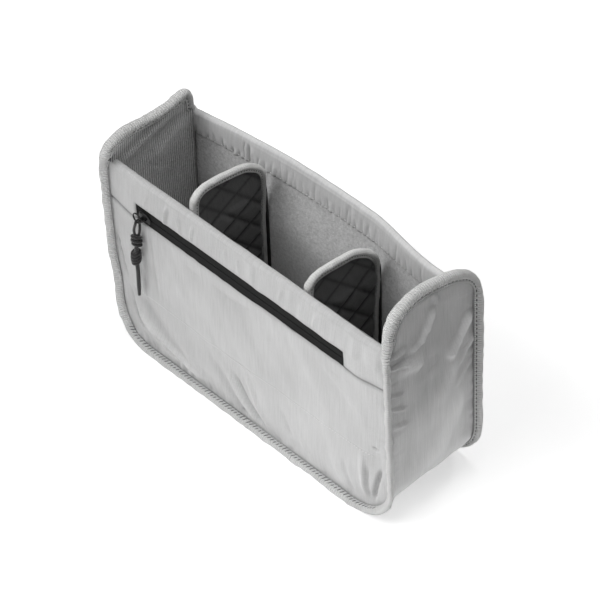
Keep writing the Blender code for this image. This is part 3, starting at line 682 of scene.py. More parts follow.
BAND_FOLDS = (
    (-752, 1657, -768, 1505, 14, 15), (-725, 1640, -740, 1515, 12, -10), (-480, 1651, -491, 1531, 14, 13),
    (-150, 1660, -140, 1540, 16, 8), (420, 1660, 400, 1540, 20, 8), (-640, 1650, -600, 1510, 13, 10),
    (-340, 1655, -310, 1520, 14, -7), (-30, 1655, 10, 1520, 13, 8), (180, 1650, 190, 1530, 15, -7),
    (760, 1650, 740, 1530, 16, 8), (-960, 1650, -990, 1520, 18, 8),
)


# How strongly folds show in their painted shade and light: hollows, hollows below a depth, and slopes up to
# the steepest one
HOLLOW_TONE, DEEP_TONE, DEEP_BELOW = 70.0, 110.0, 0.0003
LEFT_TONE, UP_TONE, STEEPEST = 0.30, 0.22, 0.9
RUN_FLOOR = 1e-5


def fold_shade(relief, x, z):
    """Painted shade and light of folded cloth on a grid: hollows darker than crests, and slopes that face
    left and up lighter than the others, as if lit from there, from differences of neighbours."""
    across = np.gradient(relief, axis=1) / np.maximum(np.abs(np.gradient(x, axis=1)), RUN_FLOOR)
    rising = np.gradient(relief, axis=0) / np.maximum(np.abs(np.gradient(z, axis=0)), RUN_FLOOR)
    across, rising = np.clip(across, -STEEPEST, STEEPEST), np.clip(rising, -STEEPEST, STEEPEST)
    hollow = -HOLLOW_TONE * relief + DEEP_TONE * np.maximum(-relief - DEEP_BELOW, 0.0)
    return hollow - LEFT_TONE * across + UP_TONE * rising


def front_relief(x, z):
    """Folds of the front cloth: long soft folds, seam puckers and a low unevenness, which all die away at
    the seams."""
    beside = to_side(x, z)
    relief = noises(x, z, (0.0007, 0.045, 0.040, 11), (0.0004, 0.016, 0.030, 12))
    relief = relief + creases(x, z, FRONT_FOLDS) + 1.5 * creases(x, z, BAND_FOLDS)
    relief = relief + 0.0013 * puckers(x, z - BASE_SEAM, 0.008, 14, 0.0045)
    relief = relief + 0.0009 * puckers(z, beside, 0.007, 16, 0.005)
    relief = relief + 0.0010 * soft_noise(x, z, 0.0062, 0.020, 18) * smooth((z - ZIP_HIGH) / 0.004)
    relief = relief + 0.0005 * soft_noise(x + 0.6 * z, z, 0.011, 0.050, 19)
    lowest = -0.0024 + 0.0022 * smooth((z - 0.116) / 0.010)
    return np.maximum(relief, lowest) * smooth(np.minimum(beside, z - BASE_SEAM) / 0.004)


def front_cloth_y(x, z, strength):
    """The front cloth's outer face: the seam plane, its stand-off and its folds."""
    return FRONT_SEAM - front_stand(x, z) - front_relief(x, z) * strength


def columns_of(step):
    return np.linspace(-1.0, 1.0, int(SEAM_LENGTH / step) + 1)[None, :]


def corner_rows(count):
    """Heights from the base seam's hem round the lower corners."""
    arc = CORNER_HEIGHT - CORNER_RADIUS * np.cos(np.linspace(0, math.pi / 2, count))
    return np.concatenate([[BASE_SEAM - HEM_DROP], arc])


def over_rim(start, inner, drop, wave, first):
    """Half an ellipse over the rim, from the outer face to the inner one: its turn, place and height."""
    angle = np.linspace(first, math.pi, 12)[:, None]
    y = (start + inner) / 2 + (start - inner) / 2 * np.cos(angle)
    return smooth(angle / math.pi), y, RIM - drop + (drop + wave) * np.sin(angle)


def middle_lengths(points):
    """Distance along the middle column of a grid of points."""
    return lengths_along(points[:, points.shape[1] // 2])[:, None]


class InsertPocketCloth(bpy.types.Operator):
    """Front pocket cloth, from the base seam up to the zip, with its folds and stitch line"""
    bl_idname = "insert.pocket_cloth"
    bl_label = "Pocket cloth"

    def execute(self, context):
        sizes = context.scene.insert_sizes
        low = corner_rows(40)
        rise = np.arange(low[-1] + sizes.grid, ZIP_LOW - 0.0024, sizes.grid)
        hem = ZIP_LOW - np.array([0.0016, 0.0010, 0.0005, 0.0002, 0.0])
        z = np.concatenate([low, rise, hem])[:, None]
        x = columns_of(sizes.grid) * (half_width(z) + OVERHANG)
        y = front_cloth_y(x, z, sizes.fold) + 0.0009 * bell(ZIP_LOW - z, 0.0011)
        edge = np.minimum(to_side(x, z), z - BASE_SEAM)
        beside = smooth(np.maximum(ZIP_LEFT - x, x - ZIP_RIGHT) / 0.002)
        # Painted shade along the seams and under the zip window's lower edge, and the folds' painted shade
        # and light
        painted_shading = 0.55 * fade(np.maximum(edge, 0), 0.0015) + (0.4 + 0.7 * beside) * fade(ZIP_LOW - z, 0.0012)
        painted_shading = painted_shading + fold_shade(front_relief(x, z), x, z) * sizes.fold
        lay("front_pocket_cloth", grid_of(x, y, z), x, z, FORWARD, CLOTH, "shell_cloth",
            "front_pocket_panel", painted_shading=painted_shading)
        line = np.linspace(-0.124, 0.128, 200)
        level = 0.0610 + 0.0040 * smooth((line + 0.02) / 0.12)
        wall_stitches("pocket_stitches", line, front_cloth_y(line, level, sizes.fold), level, FORWARD,
                      sizes.stitch_pitch * 0.8, 0.0014, 0.0009, lift=0.0002)
        return {"FINISHED"}


class InsertRimBand(bpy.types.Operator):
    """Front top band: round the zip window, over the rim and down inside as the facing"""
    bl_idname = "insert.rim_band"
    bl_label = "Front rim band"

    def execute(self, context):
        sizes = context.scene.insert_sizes
        left, right = ZIP_LEFT / RIM_WIDTH, ZIP_RIGHT / RIM_WIDTH
        nudge = 0.0004 / RIM_WIDTH
        share = np.unique(np.concatenate([
            np.linspace(-1, left, 28), np.linspace(left, right, int((ZIP_RIGHT - ZIP_LEFT) / sizes.grid)),
            np.linspace(right, 1, 32), [left - nudge, right + nudge]]))[None, :]
        outer = np.concatenate([
            ZIP_LOW + np.array([0.0, 0.0003]), np.arange(ZIP_LOW + 0.0012, ZIP_HIGH - 0.0008, 0.0012),
            [ZIP_HIGH, ZIP_HIGH + 0.0003, ZIP_HIGH + 0.0007],
            np.arange(ZIP_HIGH + 0.0015, RIM - 0.0036, 0.0010)])[:, None]
        x_outer = share * RIM_WIDTH + 0 * outer
        x_outer = x_outer + np.sign(x_outer) * OVERHANG * (np.abs(share) > 0.999)
        z_outer = outer + 0 * x_outer
        beside = np.maximum(ZIP_LEFT - x_outer, x_outer - ZIP_RIGHT)
        to_window = np.maximum(beside, np.maximum(ZIP_LOW - z_outer, z_outer - ZIP_HIGH))
        y_outer = front_cloth_y(x_outer, z_outer, sizes.fold)
        y_outer = y_outer + 0.0007 * bell(np.maximum(to_window, 0), 0.0009)
        y_outer = y_outer + 0.0007 * bell(z_outer - ZIP_LOW, 0.0009) * (to_window > 0)
        drop = 0.0030
        x_rim = share * (RIM_WIDTH + OVERHANG)
        start = front_cloth_y(x_rim, np.full_like(x_rim, RIM - drop), sizes.fold)
        inner = FRONT_SEAM + INNER_FRONT + noises(x_rim, 0.0, (0.0002, 0.02, 1.0, 21))
        wave = noises(x_rim, 0.0, (0.0007, 0.055, 1.0, 22), (0.0003, 0.012, 1.0, 23))
        turn, y_arc, z_arc = over_rim(start, inner, drop, wave, 0.12)
        down = np.arange(RIM - 0.0040, FACING_FOOT, -0.0012)[:, None]
        y_down = inner + 0.0004 * puckers(x_rim, down - FACING_FOOT, 0.008, 24, 0.006)
        inward = 1 - 0.0040 / RIM_WIDTH * turn
        x = np.concatenate([x_outer, x_rim * inward, x_rim * inward[-1] + 0 * y_down])
        z = np.concatenate([z_outer, z_arc, down + 0 * x_rim])
        points = grid_of(x, np.concatenate([y_outer, y_arc, y_down]), z)
        middle_x = (share[:, :-1] + share[:, 1:]) / 2 * RIM_WIDTH
        middle_z = (z[:-1, :1] + z[1:, :1]) / 2
        is_outer = (np.arange(len(z) - 1) < len(outer) - 1)[:, None]
        window = (middle_x > ZIP_LEFT - 5 * TINY) & (middle_x < ZIP_RIGHT + 5 * TINY)
        window = window & (middle_z < ZIP_HIGH - TINY) & is_outer
        # Painted shade along the end seams and round the zip window, and the folds' painted shade and light
        painted_shading = 0.5 * fade(to_side(x, z), 0.0015)
        seam = 0.5 * fade(np.maximum(to_window, 0), 0.0010)
        seam = seam + 1.1 * fade(z_outer - ZIP_LOW, 0.0012) * (to_window > 0)
        painted_shading[:len(outer)] += seam + fold_shade(front_relief(x_outer, z_outer), x_outer, z_outer) * sizes.fold
        lay("front_rim_band", points, x, middle_lengths(points), (0, -1, 0.3), THIN_CLOTH, "shell_cloth",
            "front_top_band", "front_rim_facing", painted_shading=painted_shading, keep=~window)
        line = np.linspace(-0.134, 0.134, 220)
        wall_stitches("front_facing_stitches", line, FRONT_SEAM + INNER_FRONT + 0.0003, FACING_FOOT + 0.0012,
                      BACKWARD, sizes.stitch_pitch)
        return {"FINISHED"}


def back_slits(x, depth_share, seed):
    """Gathered slits in the facing: narrow dips at uneven places, each a slightly slanted line that is
    deepest at the seam and fades towards the rim. Two stretches are gathered more than the rest."""
    chance = np.random.default_rng(seed)
    total = np.zeros(np.broadcast(x, depth_share).shape)
    for place in np.cumsum(chance.uniform(0.0030, 0.0080, 60)) - 0.138:
        slant, depth, reach, width = chance.uniform((-0.003, 0.3, 0.35, 0.0006), (0.003, 1.0, 0.95, 0.0014))
        away = x - place - slant * depth_share
        depth = depth * (0.66 + 1.1 * bell(place + 0.088, 0.024) + 0.4 * bell(place - 0.015, 0.02))
        shown = smooth((reach - depth_share) / 0.35)
        total += depth * (0.6 * bell(away - 0.0018, width * 1.6) - bell(away, width)) * shown
    return total


class InsertBackCloth(bpy.types.Operator):
    """Back wall cloth: the outer face, over the rim, and the gathered facing inside it"""
    bl_idname = "insert.back_cloth"
    bl_label = "Back wall cloth"

    def execute(self, context):
        sizes = context.scene.insert_sizes
        share = columns_of(sizes.grid)
        low = corner_rows(30)
        outer = np.concatenate([low, np.arange(low[-1] + 0.0016, RIM - 0.0030, 0.0016)])[:, None]
        x_outer = share * (half_width(outer) + OVERHANG)
        beside, above = to_side(x_outer, outer), outer - BASE_SEAM
        relief = noises(x_outer, outer, (0.0007, 0.050, 0.045, 31), (0.0004, 0.014, 0.030, 32))
        relief = relief + 0.0007 * puckers(x_outer, above, 0.009, 33, 0.006)
        relief = relief + 0.0006 * puckers(outer, beside, 0.008, 35, 0.006)
        relief = (np.maximum(relief, -0.0004) + 0.0006) * smooth(np.minimum(beside, above) / 0.008)
        y_outer = BACK_SEAM + back_stand(x_outer, outer) + relief * sizes.fold
        drop = 0.0026
        x_rim = share * (RIM_WIDTH + 0.0008)
        stand = back_stand(x_rim, np.full_like(x_rim, RIM - drop))
        start = BACK_SEAM + stand + 0.0006 * smooth((1 - np.abs(share)) / 0.05)
        wave = noises(x_rim, 0.0, (0.0006, 0.045, 1.0, 36), (0.0003, 0.010, 1.0, 37))
        turn, y_arc, z_arc = over_rim(start, BACK_SEAM - INNER_BACK + stand, drop, wave, 0.15)
        down = np.linspace(RIM - 0.0034, FACING_FOOT, 26)[:, None]
        depth_share = (down - FACING_FOOT) / (RIM - FACING_FOOT)
        x_down = share * half_width(down, 0.0026)
        slits = back_slits(x_down, depth_share, 38)
        puff = 0.0010 * np.sin(math.pi * np.clip(depth_share, 0, 1)) ** 0.8
        y_down = BACK_SEAM - INNER_BACK + back_stand(x_down, down) - (puff + 0.0017 * slits) * sizes.fold
        x = np.concatenate([x_outer, x_rim + share * -0.0034 * turn, x_down])
        z = np.concatenate([outer + 0 * x_outer, z_arc, down + 0 * x_down])
        points = grid_of(x, np.concatenate([y_outer, y_arc, y_down]), z)
        # Painted shade along the end seams, in the facing's slits, at its foot seam and at the turn over the
        # rim
        painted_shading = 0.5 * fade(to_side(x, z), 0.0015)
        painted_shading[-len(down):] += np.clip(-slits, -0.3, 1.3) + 0.7 * fade(down - FACING_FOOT, 0.0010)
        painted_shading[len(outer):len(outer) + 4] += 0.35
        lay("back_wall_cloth", points, x, middle_lengths(points), (0, 1, 0.3), THIN_CLOTH, "facing_cloth",
            "back_outer_panel", "back_rim_facing", painted_shading=painted_shading)
        line = np.linspace(-0.133, 0.133, 260)
        level = FACING_FOOT + 0.0011
        face = BACK_SEAM - INNER_BACK + back_stand(line, np.full_like(line, level)) - 0.0003
        wall_stitches("back_facing_stitches", line, face, level, FORWARD, sizes.stitch_pitch)
        return {"FINISHED"}


class InsertLinings(bpy.types.Operator):
    """Brushed linings of the front wall, the back wall and the base, the pocket's lining, and the foam
    board in the back wall"""
    bl_idname = "insert.linings"
    bl_label = "Linings"

    def execute(self, context):
        share = np.linspace(-1, 1, 120)[None, :]
        inset, top = 0.0055, FACING_FOOT + 0.0012
        z = np.linspace(BASE_SEAM + inset, top, 70)[:, None]
        x = share * half_width(z, inset)
        edge = np.minimum(to_side(x, z, inset), z - BASE_SEAM - inset)
        # Painted shade along the linings' edges and under the facing
        painted_shading = 0.6 * fade(edge, 0.0035) + 0.8 * fade(top - z, 0.0010)
        for name, face, outward, node, seed in (
                ("front_loop_lining", FRONT_SEAM + (INNER_FRONT - 0.0002), BACKWARD, "front_lining", 41),
                ("back_loop_lining", BACK_SEAM - (INNER_BACK - 0.0002) + back_stand(x, z), FORWARD,
                 "back_lining", 44)):
            fuzz = noises(x, z, (0.00025, 0.0030, 0.0030, seed), (0.0005, 0.04, 0.03, seed + 1))
            lay(name, grid_of(x, face + outward[1] * fuzz, z), x, z, outward, CLOTH, "loop_lining", node,
                painted_shading=painted_shading)
        x = share * half_width(z, 0.0010)
        lay("pocket_inner_lining", grid_of(x, FRONT_SEAM + 0.0010, z), x, z, FORWARD, 0.0004,
            "pocket_lining", "pocket_lining")
        z = np.linspace(BASE_SEAM + inset, RIM - 0.0040, 44)[:, None]
        x = share[:, ::4] * half_width(z, 0.0060)
        lay("back_board", grid_of(x, BACK_SEAM - 0.0010 + back_stand(x, z), z), x, z, BACKWARD, 0.0030,
            "foam", "back_foam_board")
        reach = CORNER_X + ARC_LENGTH
        along = np.linspace(-reach, reach, 260)[:, None]
        y = np.linspace(FRONT_SEAM + 0.0061, BACK_SEAM - 0.0054, 60)[None, :]
        x, z, out_x, out_z = hoop(along, INNER_BACK)
        rise = noises(along, y, (0.0002, 0.0030, 0.0030, 47), (0.0004, 0.04, 0.03, 48))
        edge = np.minimum(y - y.min(), y.max() - y)
        # Painted shade along the base lining's edges
        lay("base_loop_lining", grid_of(x - out_x * rise, y, z - out_z * rise), along, y, UPWARD, CLOTH,
            "loop_lining", "base_lining", painted_shading=0.6 * fade(edge, 0.004))
        return {"FINISHED"}


# Raised ends

# Their edges in Y and Z, in tenths of a millimetre, from the front seam over the top to the back seam
WING_EDGES = {
    -1: ((-478, 1590), (-496, 1680), (-503, 1760), (-492, 1830), (-458, 1880), (-400, 1914), (-320, 1935),
         (-230, 1940), (-120, 1928), (0, 1921), (100, 1924), (180, 1940), (245, 1957), (297, 1955),
         (333, 1925), (354, 1865), (367, 1770), (388, 1680), (412, 1590)),
    1: ((-440, 1590), (-428, 1680), (-420, 1770), (-405, 1860), (-365, 1940), (-300, 1998), (-205, 2036),
        (-100, 2050), (10, 2042), (110, 2020), (210, 1992), (310, 1950), (400, 1885), (460, 1800),
        (488, 1700), (490, 1590)),
}
WING_START = 0.1590
WING_FOOT = 0.1600


def seam_blend(z):
    """Share of a raised end's edge that still follows the long seam: one at its foot, nought higher up."""
    return 1 - smooth((z - 0.1610) / 0.0190)


def wing_edge(side, step, inset=0.0, foot=WING_START):
    """Edge of a raised end in Y and Z at equal steps, drawn in by inset, and its direction outwards: a
    curve through the edge's points."""
    curve = smooth_route(np.array(WING_EDGES[side]) / 10000, 16)
    curve = curve[curve[:, 1] >= foot - TINY]
    along = lengths_along(curve)
    at = np.linspace(0, along[-1], int(along[-1] / step) + 1)
    return drawn_in(at_places(at, along, curve), inset)


def end_grid(side, inset, foot, margin_front, margin_back, step, edge_inset, fan_foot=WING_FOOT):
    """Rows up one end: level ones from a height to the foot of the raised part, then rows that fan out
    from that level line to the raised edge, point by point. Also each point's way to that edge."""
    columns = int(0.080 / step) + 1
    front, back = FRONT_SEAM + margin_front, BACK_SEAM - margin_back
    level = front + (back - front) * np.linspace(0, 1, columns)
    straight = np.arange(foot, fan_foot, step)[:, None]
    edge, _ = wing_edge(side, 0.0005, edge_inset, fan_foot)
    edge = at_places(np.linspace(0, len(edge) - 1, columns), np.arange(len(edge)), edge)
    share = seam_blend(edge[:, 1])
    edge[:, 0] = edge[:, 0] * (1 - share) + np.where(edge[:, 0] < 0, front, back) * share
    rise = np.linspace(0, 1, int(0.036 / step) + 1)[:, None]
    y = np.concatenate([level + 0 * straight, level * (1 - rise) + edge[:, 0] * rise])
    z = np.concatenate([straight + 0 * level, fan_foot * (1 - rise) + edge[:, 1] * rise])
    rim, _ = wing_edge(side, 0.0008)
    way = np.hypot(y[..., None] - rim[:, 0], z[..., None] - rim[:, 1]).min(-1)
    return side * side_x(z, inset), y, z, way


def strip_grid(inset, margin_front, margin_back, step, edge_inset):
    """The whole strip from the top of the left raised end, down, along the base and up to the top of the
    right one: X, Y, Z, distance along, the way to the raised edges, and the direction outwards."""
    foot = STRAIGHT_FOOT + 0.0005
    ends = []
    for side in (-1, 1):
        x, y, z, gap = end_grid(side, inset, foot, margin_front, margin_back, step, edge_inset)
        ends.append((x, y, z, side * (along_at(foot) + (z - foot)), gap))
    reach = along_at(foot) - step
    along = np.linspace(-reach, reach, int(2 * reach / step))[:, None]
    base_x, base_z, _, _ = hoop(along, inset)
    base = np.broadcast_arrays(base_x, ends[0][1][0], base_z, along, 0.05)
    x, y, z, run, gap = (np.concatenate([ends[0][k][::-1], base[k], ends[1][k]]) for k in range(5))
    _, _, out_x, out_z = hoop(run)
    return x, y, z, run, gap, grid_of(out_x, 0.0, out_z)


RIGHT_END_FOLDS = (
    (-210, 1602, -110, 1630, 22, 16), (-120, 1620, -55, 1720, 26, 24), (-60, 1700, 6, 1830, 30, 22),
    (-20, 1590, 80, 1800, 50, -20), (130, 1310, 247, 1406, 42, 22), (235, 1390, 360, 1560, 32, 22),
    (190, 1480, 300, 1640, 40, -14), (2, 2040, 43, 1850, 13, 18), (35, 2040, 75, 1870, 12, -12),
    (-400, 1656, -260, 1649, 20, 18), (-400, 1600, -240, 1585, 18, -12), (-400, 1544, -260, 1536, 18, 14),
    (-400, 1300, -300, 1270, 14, 12), (-300, 1500, -100, 1440, 70, 22), (-157, 1350, 73, 1370, 60, -10),
    (-400, 1180, -280, 1120, 16, 12), (-400, 1010, -260, 970, 18, 10), (220, 1180, 390, 1330, 18, 12),
    (200, 1000, 390, 1130, 22, 10), (40, 950, 220, 1300, 70, 12), (-60, 400, 280, 900, 90, 14),
)
LEFT_KNIT_FOLDS = (
    (-420, 1740, 20, 1850, 50, -14), (-380, 1640, 160, 1830, 45, 12), (-100, 1500, 280, 1700, 60, 10),
)


class InsertEndCloth(bpy.types.Operator):
    """Outer cloth of both ends and the base, in one strip that runs to the tops of the raised ends, and
    the foam strip behind it"""
    bl_idname = "insert.end_cloth"
    bl_label = "End and base cloth"

    def execute(self, context):
        sizes = context.scene.insert_sizes
        x, y, z, run, gap, out = strip_grid(0.0, -OVERHANG, -OVERHANG, sizes.grid, 0.0016)
        at_right = run > 0
        rise = smooth((z - 0.1580) / 0.0180)
        edge = np.minimum(y - FRONT_SEAM, BACK_SEAM - y) * (1 - rise) + np.maximum(gap - 0.0066, 0) * rise
        relief = noises(run, y, (0.0006, 0.040, 0.030, 51), (0.0005, 0.035, 0.008, 52))
        relief = relief + 0.0017 * puckers(run, y - FRONT_SEAM, 0.006, 53, 0.0036)
        relief = relief + 0.0012 * puckers(run + 0.5 * y, BACK_SEAM - y, 0.007, 55, 0.0048)
        relief = relief + 0.0006 * soft_noise(run, y, 0.012, 0.020, 57)
        relief = relief + np.where(at_right, 1.7 * creases(y, z, RIGHT_END_FOLDS), 0.0)
        relief = np.maximum(relief, -0.0006) + 0.0008
        swell = 0.0026 * smooth(edge / 0.03) * smooth((z - 0.012) / 0.05) * smooth((0.19 - z) / 0.09)
        lift = (relief * smooth(edge / 0.003) + swell) * sizes.fold
        # Painted shade and light of the folds on both ends, stronger on the right one
        shade = fold_shade(relief, y, z + 0.5 * y) * (np.abs(run) > 0.14) * np.where(at_right, 1.9, 1.0)
        # Painted light and shade on the right end, standing in for the floor's light on its foot: darker in
        # its upper part, lighter at its foot
        painted_light_and_shade = 0.34 * smooth((z - 0.070) / 0.045) + 0.16 * bell(y + 0.002, 0.020) * bell(z - 0.118, 0.022)
        painted_light_and_shade = painted_light_and_shade - 0.12 * smooth((z - 0.120) / 0.015) * smooth((y - 0.012) / 0.015)
        painted_light_and_shade = painted_light_and_shade - 0.30 * smooth((0.062 - z) / 0.040)
        # Painted shade along the seams and the raised edges, with the folds' and the right end's painted
        # light and shade
        painted_shading = 0.65 * fade(np.maximum(edge, 0), 0.0013) + shade + np.where(at_right, painted_light_and_shade, 0.0)
        lay("end_and_base_cloth", grid_of(x, y, z) + out * lift[..., None], y, run, (0, 0, -1), CLOTH,
            "shell_cloth", "end_and_base_shell", painted_shading=painted_shading)
        x, y, z, run, gap, out = strip_grid(0.0011, 0.0061, 0.0054, 0.004, 0.0035)
        lay("end_and_base_board", grid_of(x, y, z), y, run, (0, 0, -1), 0.0028, "foam", "end_and_base_foam")
        return {"FINISHED"}


class InsertEndLinings(bpy.types.Operator):
    """Ribbed knit linings inside both ends"""
    bl_idname = "insert.end_linings"
    bl_label = "End linings"

    def execute(self, context):
        for side, hand in ((-1, "left"), (1, "right")):
            foot = STRAIGHT_FOOT + 0.0006
            x, y, z, _ = end_grid(side, INNER_BACK, foot, 0.0059, 0.0052, 0.0015, 0.0020, 0.1685)
            folds = creases(y, z, LEFT_KNIT_FOLDS)
            relief = noises(y, z, (0.0006, 0.030, 0.035, 61 + side), (0.0002, 0.003, 0.004, 64))
            relief = np.maximum(relief + folds * (side < 0), -0.0004) + 0.0004
            edge = np.minimum(y - y[:, :1], y[:, -1:] - y)
            # Painted shade along the linings' edges, and painted light and shade along the folds
            painted_shading = 0.7 * fade(edge, 0.004) * (z < RIM + 0.006) - 0.35 * folds / 0.0014
            lay(hand + "_knit_lining", grid_of(x - side * relief, y, z), y, z, (-side, 0, 0), CLOTH,
                "end_lining", hand + "_end_lining", painted_shading=painted_shading)
        return {"FINISHED"}


# Seam binding

# Places of its stitches in shares of its section, its wrap of a raised end's edge, and stitch pitches
WING_STITCH = 0.28
SEAM_STITCH = 0.13
WING_WRAP, WING_DEPTH, WING_HALF = 0.0085, 0.00255, 0.0040
ROOT_PITCH, FACE_PITCH = 0.0031, 0.0037


def binding_profile(tip=9):
    """A closed section in shares: from the root up one face, round the tip, down the other face."""
    rise = np.array([0.0, 0.03, 0.07, 0.10, SEAM_STITCH, 0.16, 0.20, 0.24, WING_STITCH, 0.32, 0.38, 0.48,
                     0.60])
    turn = np.linspace(-math.pi / 2, math.pi / 2, tip + 2)[1:-1]
    p = np.concatenate([rise, 0.60 + 0.40 * np.cos(turn), rise[::-1]])
    q = np.concatenate([-np.ones(len(rise)), np.sin(turn), np.ones(len(rise))])
    return p[None, :], q[None, :]


def face_swell(p, seam_share, stitch):
    """Half thickness over the section: tucked in at the root, a pressed lip, a pinch at the stitches and
    full beyond."""
    root = 0.25 + 0.75 * smooth(p / 0.07)
    pinch = bell(p - stitch, 0.05)
    full = smooth((p - stitch + 0.01) / 0.25)
    seam = 0.80 - 0.22 * pinch + 0.20 * full
    wing = 0.84 - 0.17 * pinch + 0.16 * full
    return root * (wing * (1 - seam_share) + seam * seam_share)


def binding_stations(step):
    """The closed run of the binding: the front base seam to the right, up and over the right end, back
    along the rear base seam, and over the left end. Each station has its distance on the U outline, the
    long seam's side, the raised end's edge place and direction, and the share that follows the seam."""
    half = np.arange(0.0, along_at(WING_START), step)
    pieces = []

    def seam_run(along, outward):
        none = np.zeros_like(along)
        pieces.append((along, none + outward, none, none, none, none, none + 1.0))

    def wing_run(side, order):
        path, out = wing_edge(side, step)
        rows = (side * along_at(path[:, 1]), np.where(path[:, 0] < 0, -1.0, 1.0), path[:, 0], path[:, 1],
                out[:, 0], out[:, 1], seam_blend(path[:, 1]))
        pieces.append([row[::order] for row in rows])

    seam_run(half, -1.0)
    wing_run(1, 1)
    seam_run(half[::-1], 1.0)
    seam_run(-half[1:], 1.0)
    wing_run(-1, -1)
    seam_run(-half[:0:-1], -1.0)
    return [np.concatenate([piece[k] for piece in pieces])[:, None] for k in range(7)]


def binding_place(stations, run, sizes, stitch, p, q):
    """Section point at every station: half way between the long seam's flange, which stands at 45 degrees
    between its two walls, and the wrap of the raised end's edge in its own plane."""
    along, outward, edge_y, edge_z, out_y, out_z, w = stations
    side = np.where(along < 0, -1.0, 1.0)
    x0, z0, level_x, level_z = hoop(along)
    puff = noises(run, q * 2, (0.15, 0.010, 1.6, 71), (0.20, 0.0034, 1.6, 72))
    tip = noises(run, 0.0 * q, (0.05, 0.017, 1.0, 73), (0.05, 0.0048, 1.0, 74))
    slant = 0.16 * soft_noise(run + p * 0.008, p * 3, 0.0017, 1.3, 75)
    beyond = smooth((p - 0.10) / 0.25) * (0.4 + 0.6 * w)
    thick = face_swell(p, w, stitch) * (1 + (puff + slant) * beyond)
    reach = p * (1 + tip * beyond)
    d, c = reach * sizes.flange, q * thick * sizes.flange_half
    n, o = (d + c) * math.sqrt(0.5), (d - c) * math.sqrt(0.5)
    seam_y = np.where(outward < 0, FRONT_SEAM, BACK_SEAM)
    seam = np.stack([x0 + level_x * n, seam_y + outward * o, np.maximum(z0 + level_z * n, 0.0001)], -1)
    inward = (1 - reach) * WING_WRAP
    wing_z = edge_z - inward * out_z
    wing_x = side * side_x(wing_z, WING_DEPTH - q * thick * WING_HALF)
    wing = grid_of(wing_x, edge_y - inward * out_y + 0 * q, wing_z)
    return seam * w[..., None] + wing * (1 - w[..., None])


class InsertSeamBinding(bpy.types.Operator):
    """Folded tape on the seams: one closed run along both long seams and over both raised ends"""
    bl_idname = "insert.seam_binding"
    bl_label = "Seam binding"

    def execute(self, context):
        sizes = context.scene.insert_sizes
        step = 0.0010
        stations = binding_stations(step)
        along, outward, w = stations[0], stations[1], stations[6]
        run = np.arange(len(along))[:, None] * step
        front_share = w * (outward < 0)
        stitch = WING_STITCH + (SEAM_STITCH - WING_STITCH) * front_share

        def place(p, q):
            return binding_place(stations, run, sizes, stitch, p, q)

        p, q = binding_profile()
        points = place(p, q)
        span = lengths_along(points[:, points.shape[1] // 2], closed=True)[:, None]
        section = lengths_along(points[0])
        around = np.append(section, section[-1] + 0.004)[None, :]
        # Painted shade at the binding's root and along its stitch line, weaker on the front base seam
        root = 0.95 - 0.55 * front_share
        pinch = 0.18 * bell(p - stitch, 0.03) + root * bell(p, 0.06)
        part = sheet_data(points, around, span, wrap_rows=True, wrap_columns=True, painted_shading=pinch)
        put("seam_binding", [part], "binding_tape", "shell", "front_binding", "back_binding",
            "left_end_binding", "right_end_binding")

        def face_line(share, sign):
            """A line on one face of the binding and the outward direction there."""
            share = share + 0 * outward
            line, ahead, within = (place(a, b + 0 * share)[:, 0] for a, b in
                                   ((share, sign), (share + 0.03, sign), (share, 0.0)))
            normal = line - within
            for direction in (frames_along(line, True), unit(ahead - line)):
                normal = normal - direction * np.einsum("ij,ij->i", normal, direction)[:, None]
            return line, unit(normal)

        # The dark capsules beside the light stitches are painted shade of the stitch holes and twists
        stitch_shade, light = [], []
        for sign in (-1.0, 1.0):
            line, normal = face_line(stitch, sign)
            sunk = line - normal * 0.00055 * front_share
            stitch_shade.append(stitches_on(sunk, normal, FACE_PITCH, 0.0021, 0.0016, True, lift=0.0002))
            light.append(stitches_on(line, normal, FACE_PITCH, 0.0014, 0.0011, True, lift=0.0004, start=0.0))
        line, normal = face_line(0.20, -1.0)
        base = ((outward < 0) & (w > 0.99) & (np.abs(along) < 0.135))[:, 0]
        for half in (base & (along[:, 0] >= 0), base & (along[:, 0] < 0)):
            row = line[half], normal[half], ROOT_PITCH
            stitch_shade.append(stitches_on(*row, 0.0040, 0.00065, lift=0.0001, turn=1.3))
            light.append(stitches_on(*row, 0.0044, 0.0011, lift=0.0002, turn=1.3, start=0.0))
        put("binding_stitch_shade", stitch_shade, "dark_thread", "shell")
        put("binding_light_stitches", light, "thread", "shell")
        return {"FINISHED"}


# Zip and pull

class InsertZip(bpy.types.Operator):
    """The two woven tapes of the zip in their window"""
    bl_idname = "insert.zip"
    bl_label = "Zip tapes"

    def execute(self, context):
        x = np.linspace(ZIP_LEFT - 0.0040, ZIP_RIGHT + 0.0040, 230)[None, :]
        # Distances from the zip's middle, in hundredths of a millimetre
        away = np.array([12, 30, 80, 120, 180, 240, 310, 400, 500, 600, 700, 800, 1000, 1250])[:, None] / 1e5
        slit = away - 0.00012
        rib = -0.00008 * bell(away - 0.0009, 0.0007) + 0.0003 * fade(slit, 0.0002)
        # Painted shade along the slit between the tapes and under the window's edges
        painted_shading = 0.7 * fade(slit, 0.0004) + 0.5 * fade(np.abs(away - 0.0071), 0.0012)
        for sign, hand in ((1, "upper"), (-1, "lower")):
            z = ZIP_MIDDLE + sign * away
            wave = noises(x, away, (0.0002, 0.03, 0.006, 81 + sign), (0.00012, 0.006, 0.006, 83))
            y = FRONT_SEAM - front_stand(x, z) + 0.0011 + rib + wave * smooth(away / 0.004)
            lay(hand + "_zip_cloth", grid_of(x, y, z), x, z, FORWARD, THIN_CLOTH, "zip_tape",
                hand + "_zip_tape", painted_shading=painted_shading)
        return {"FINISHED"}


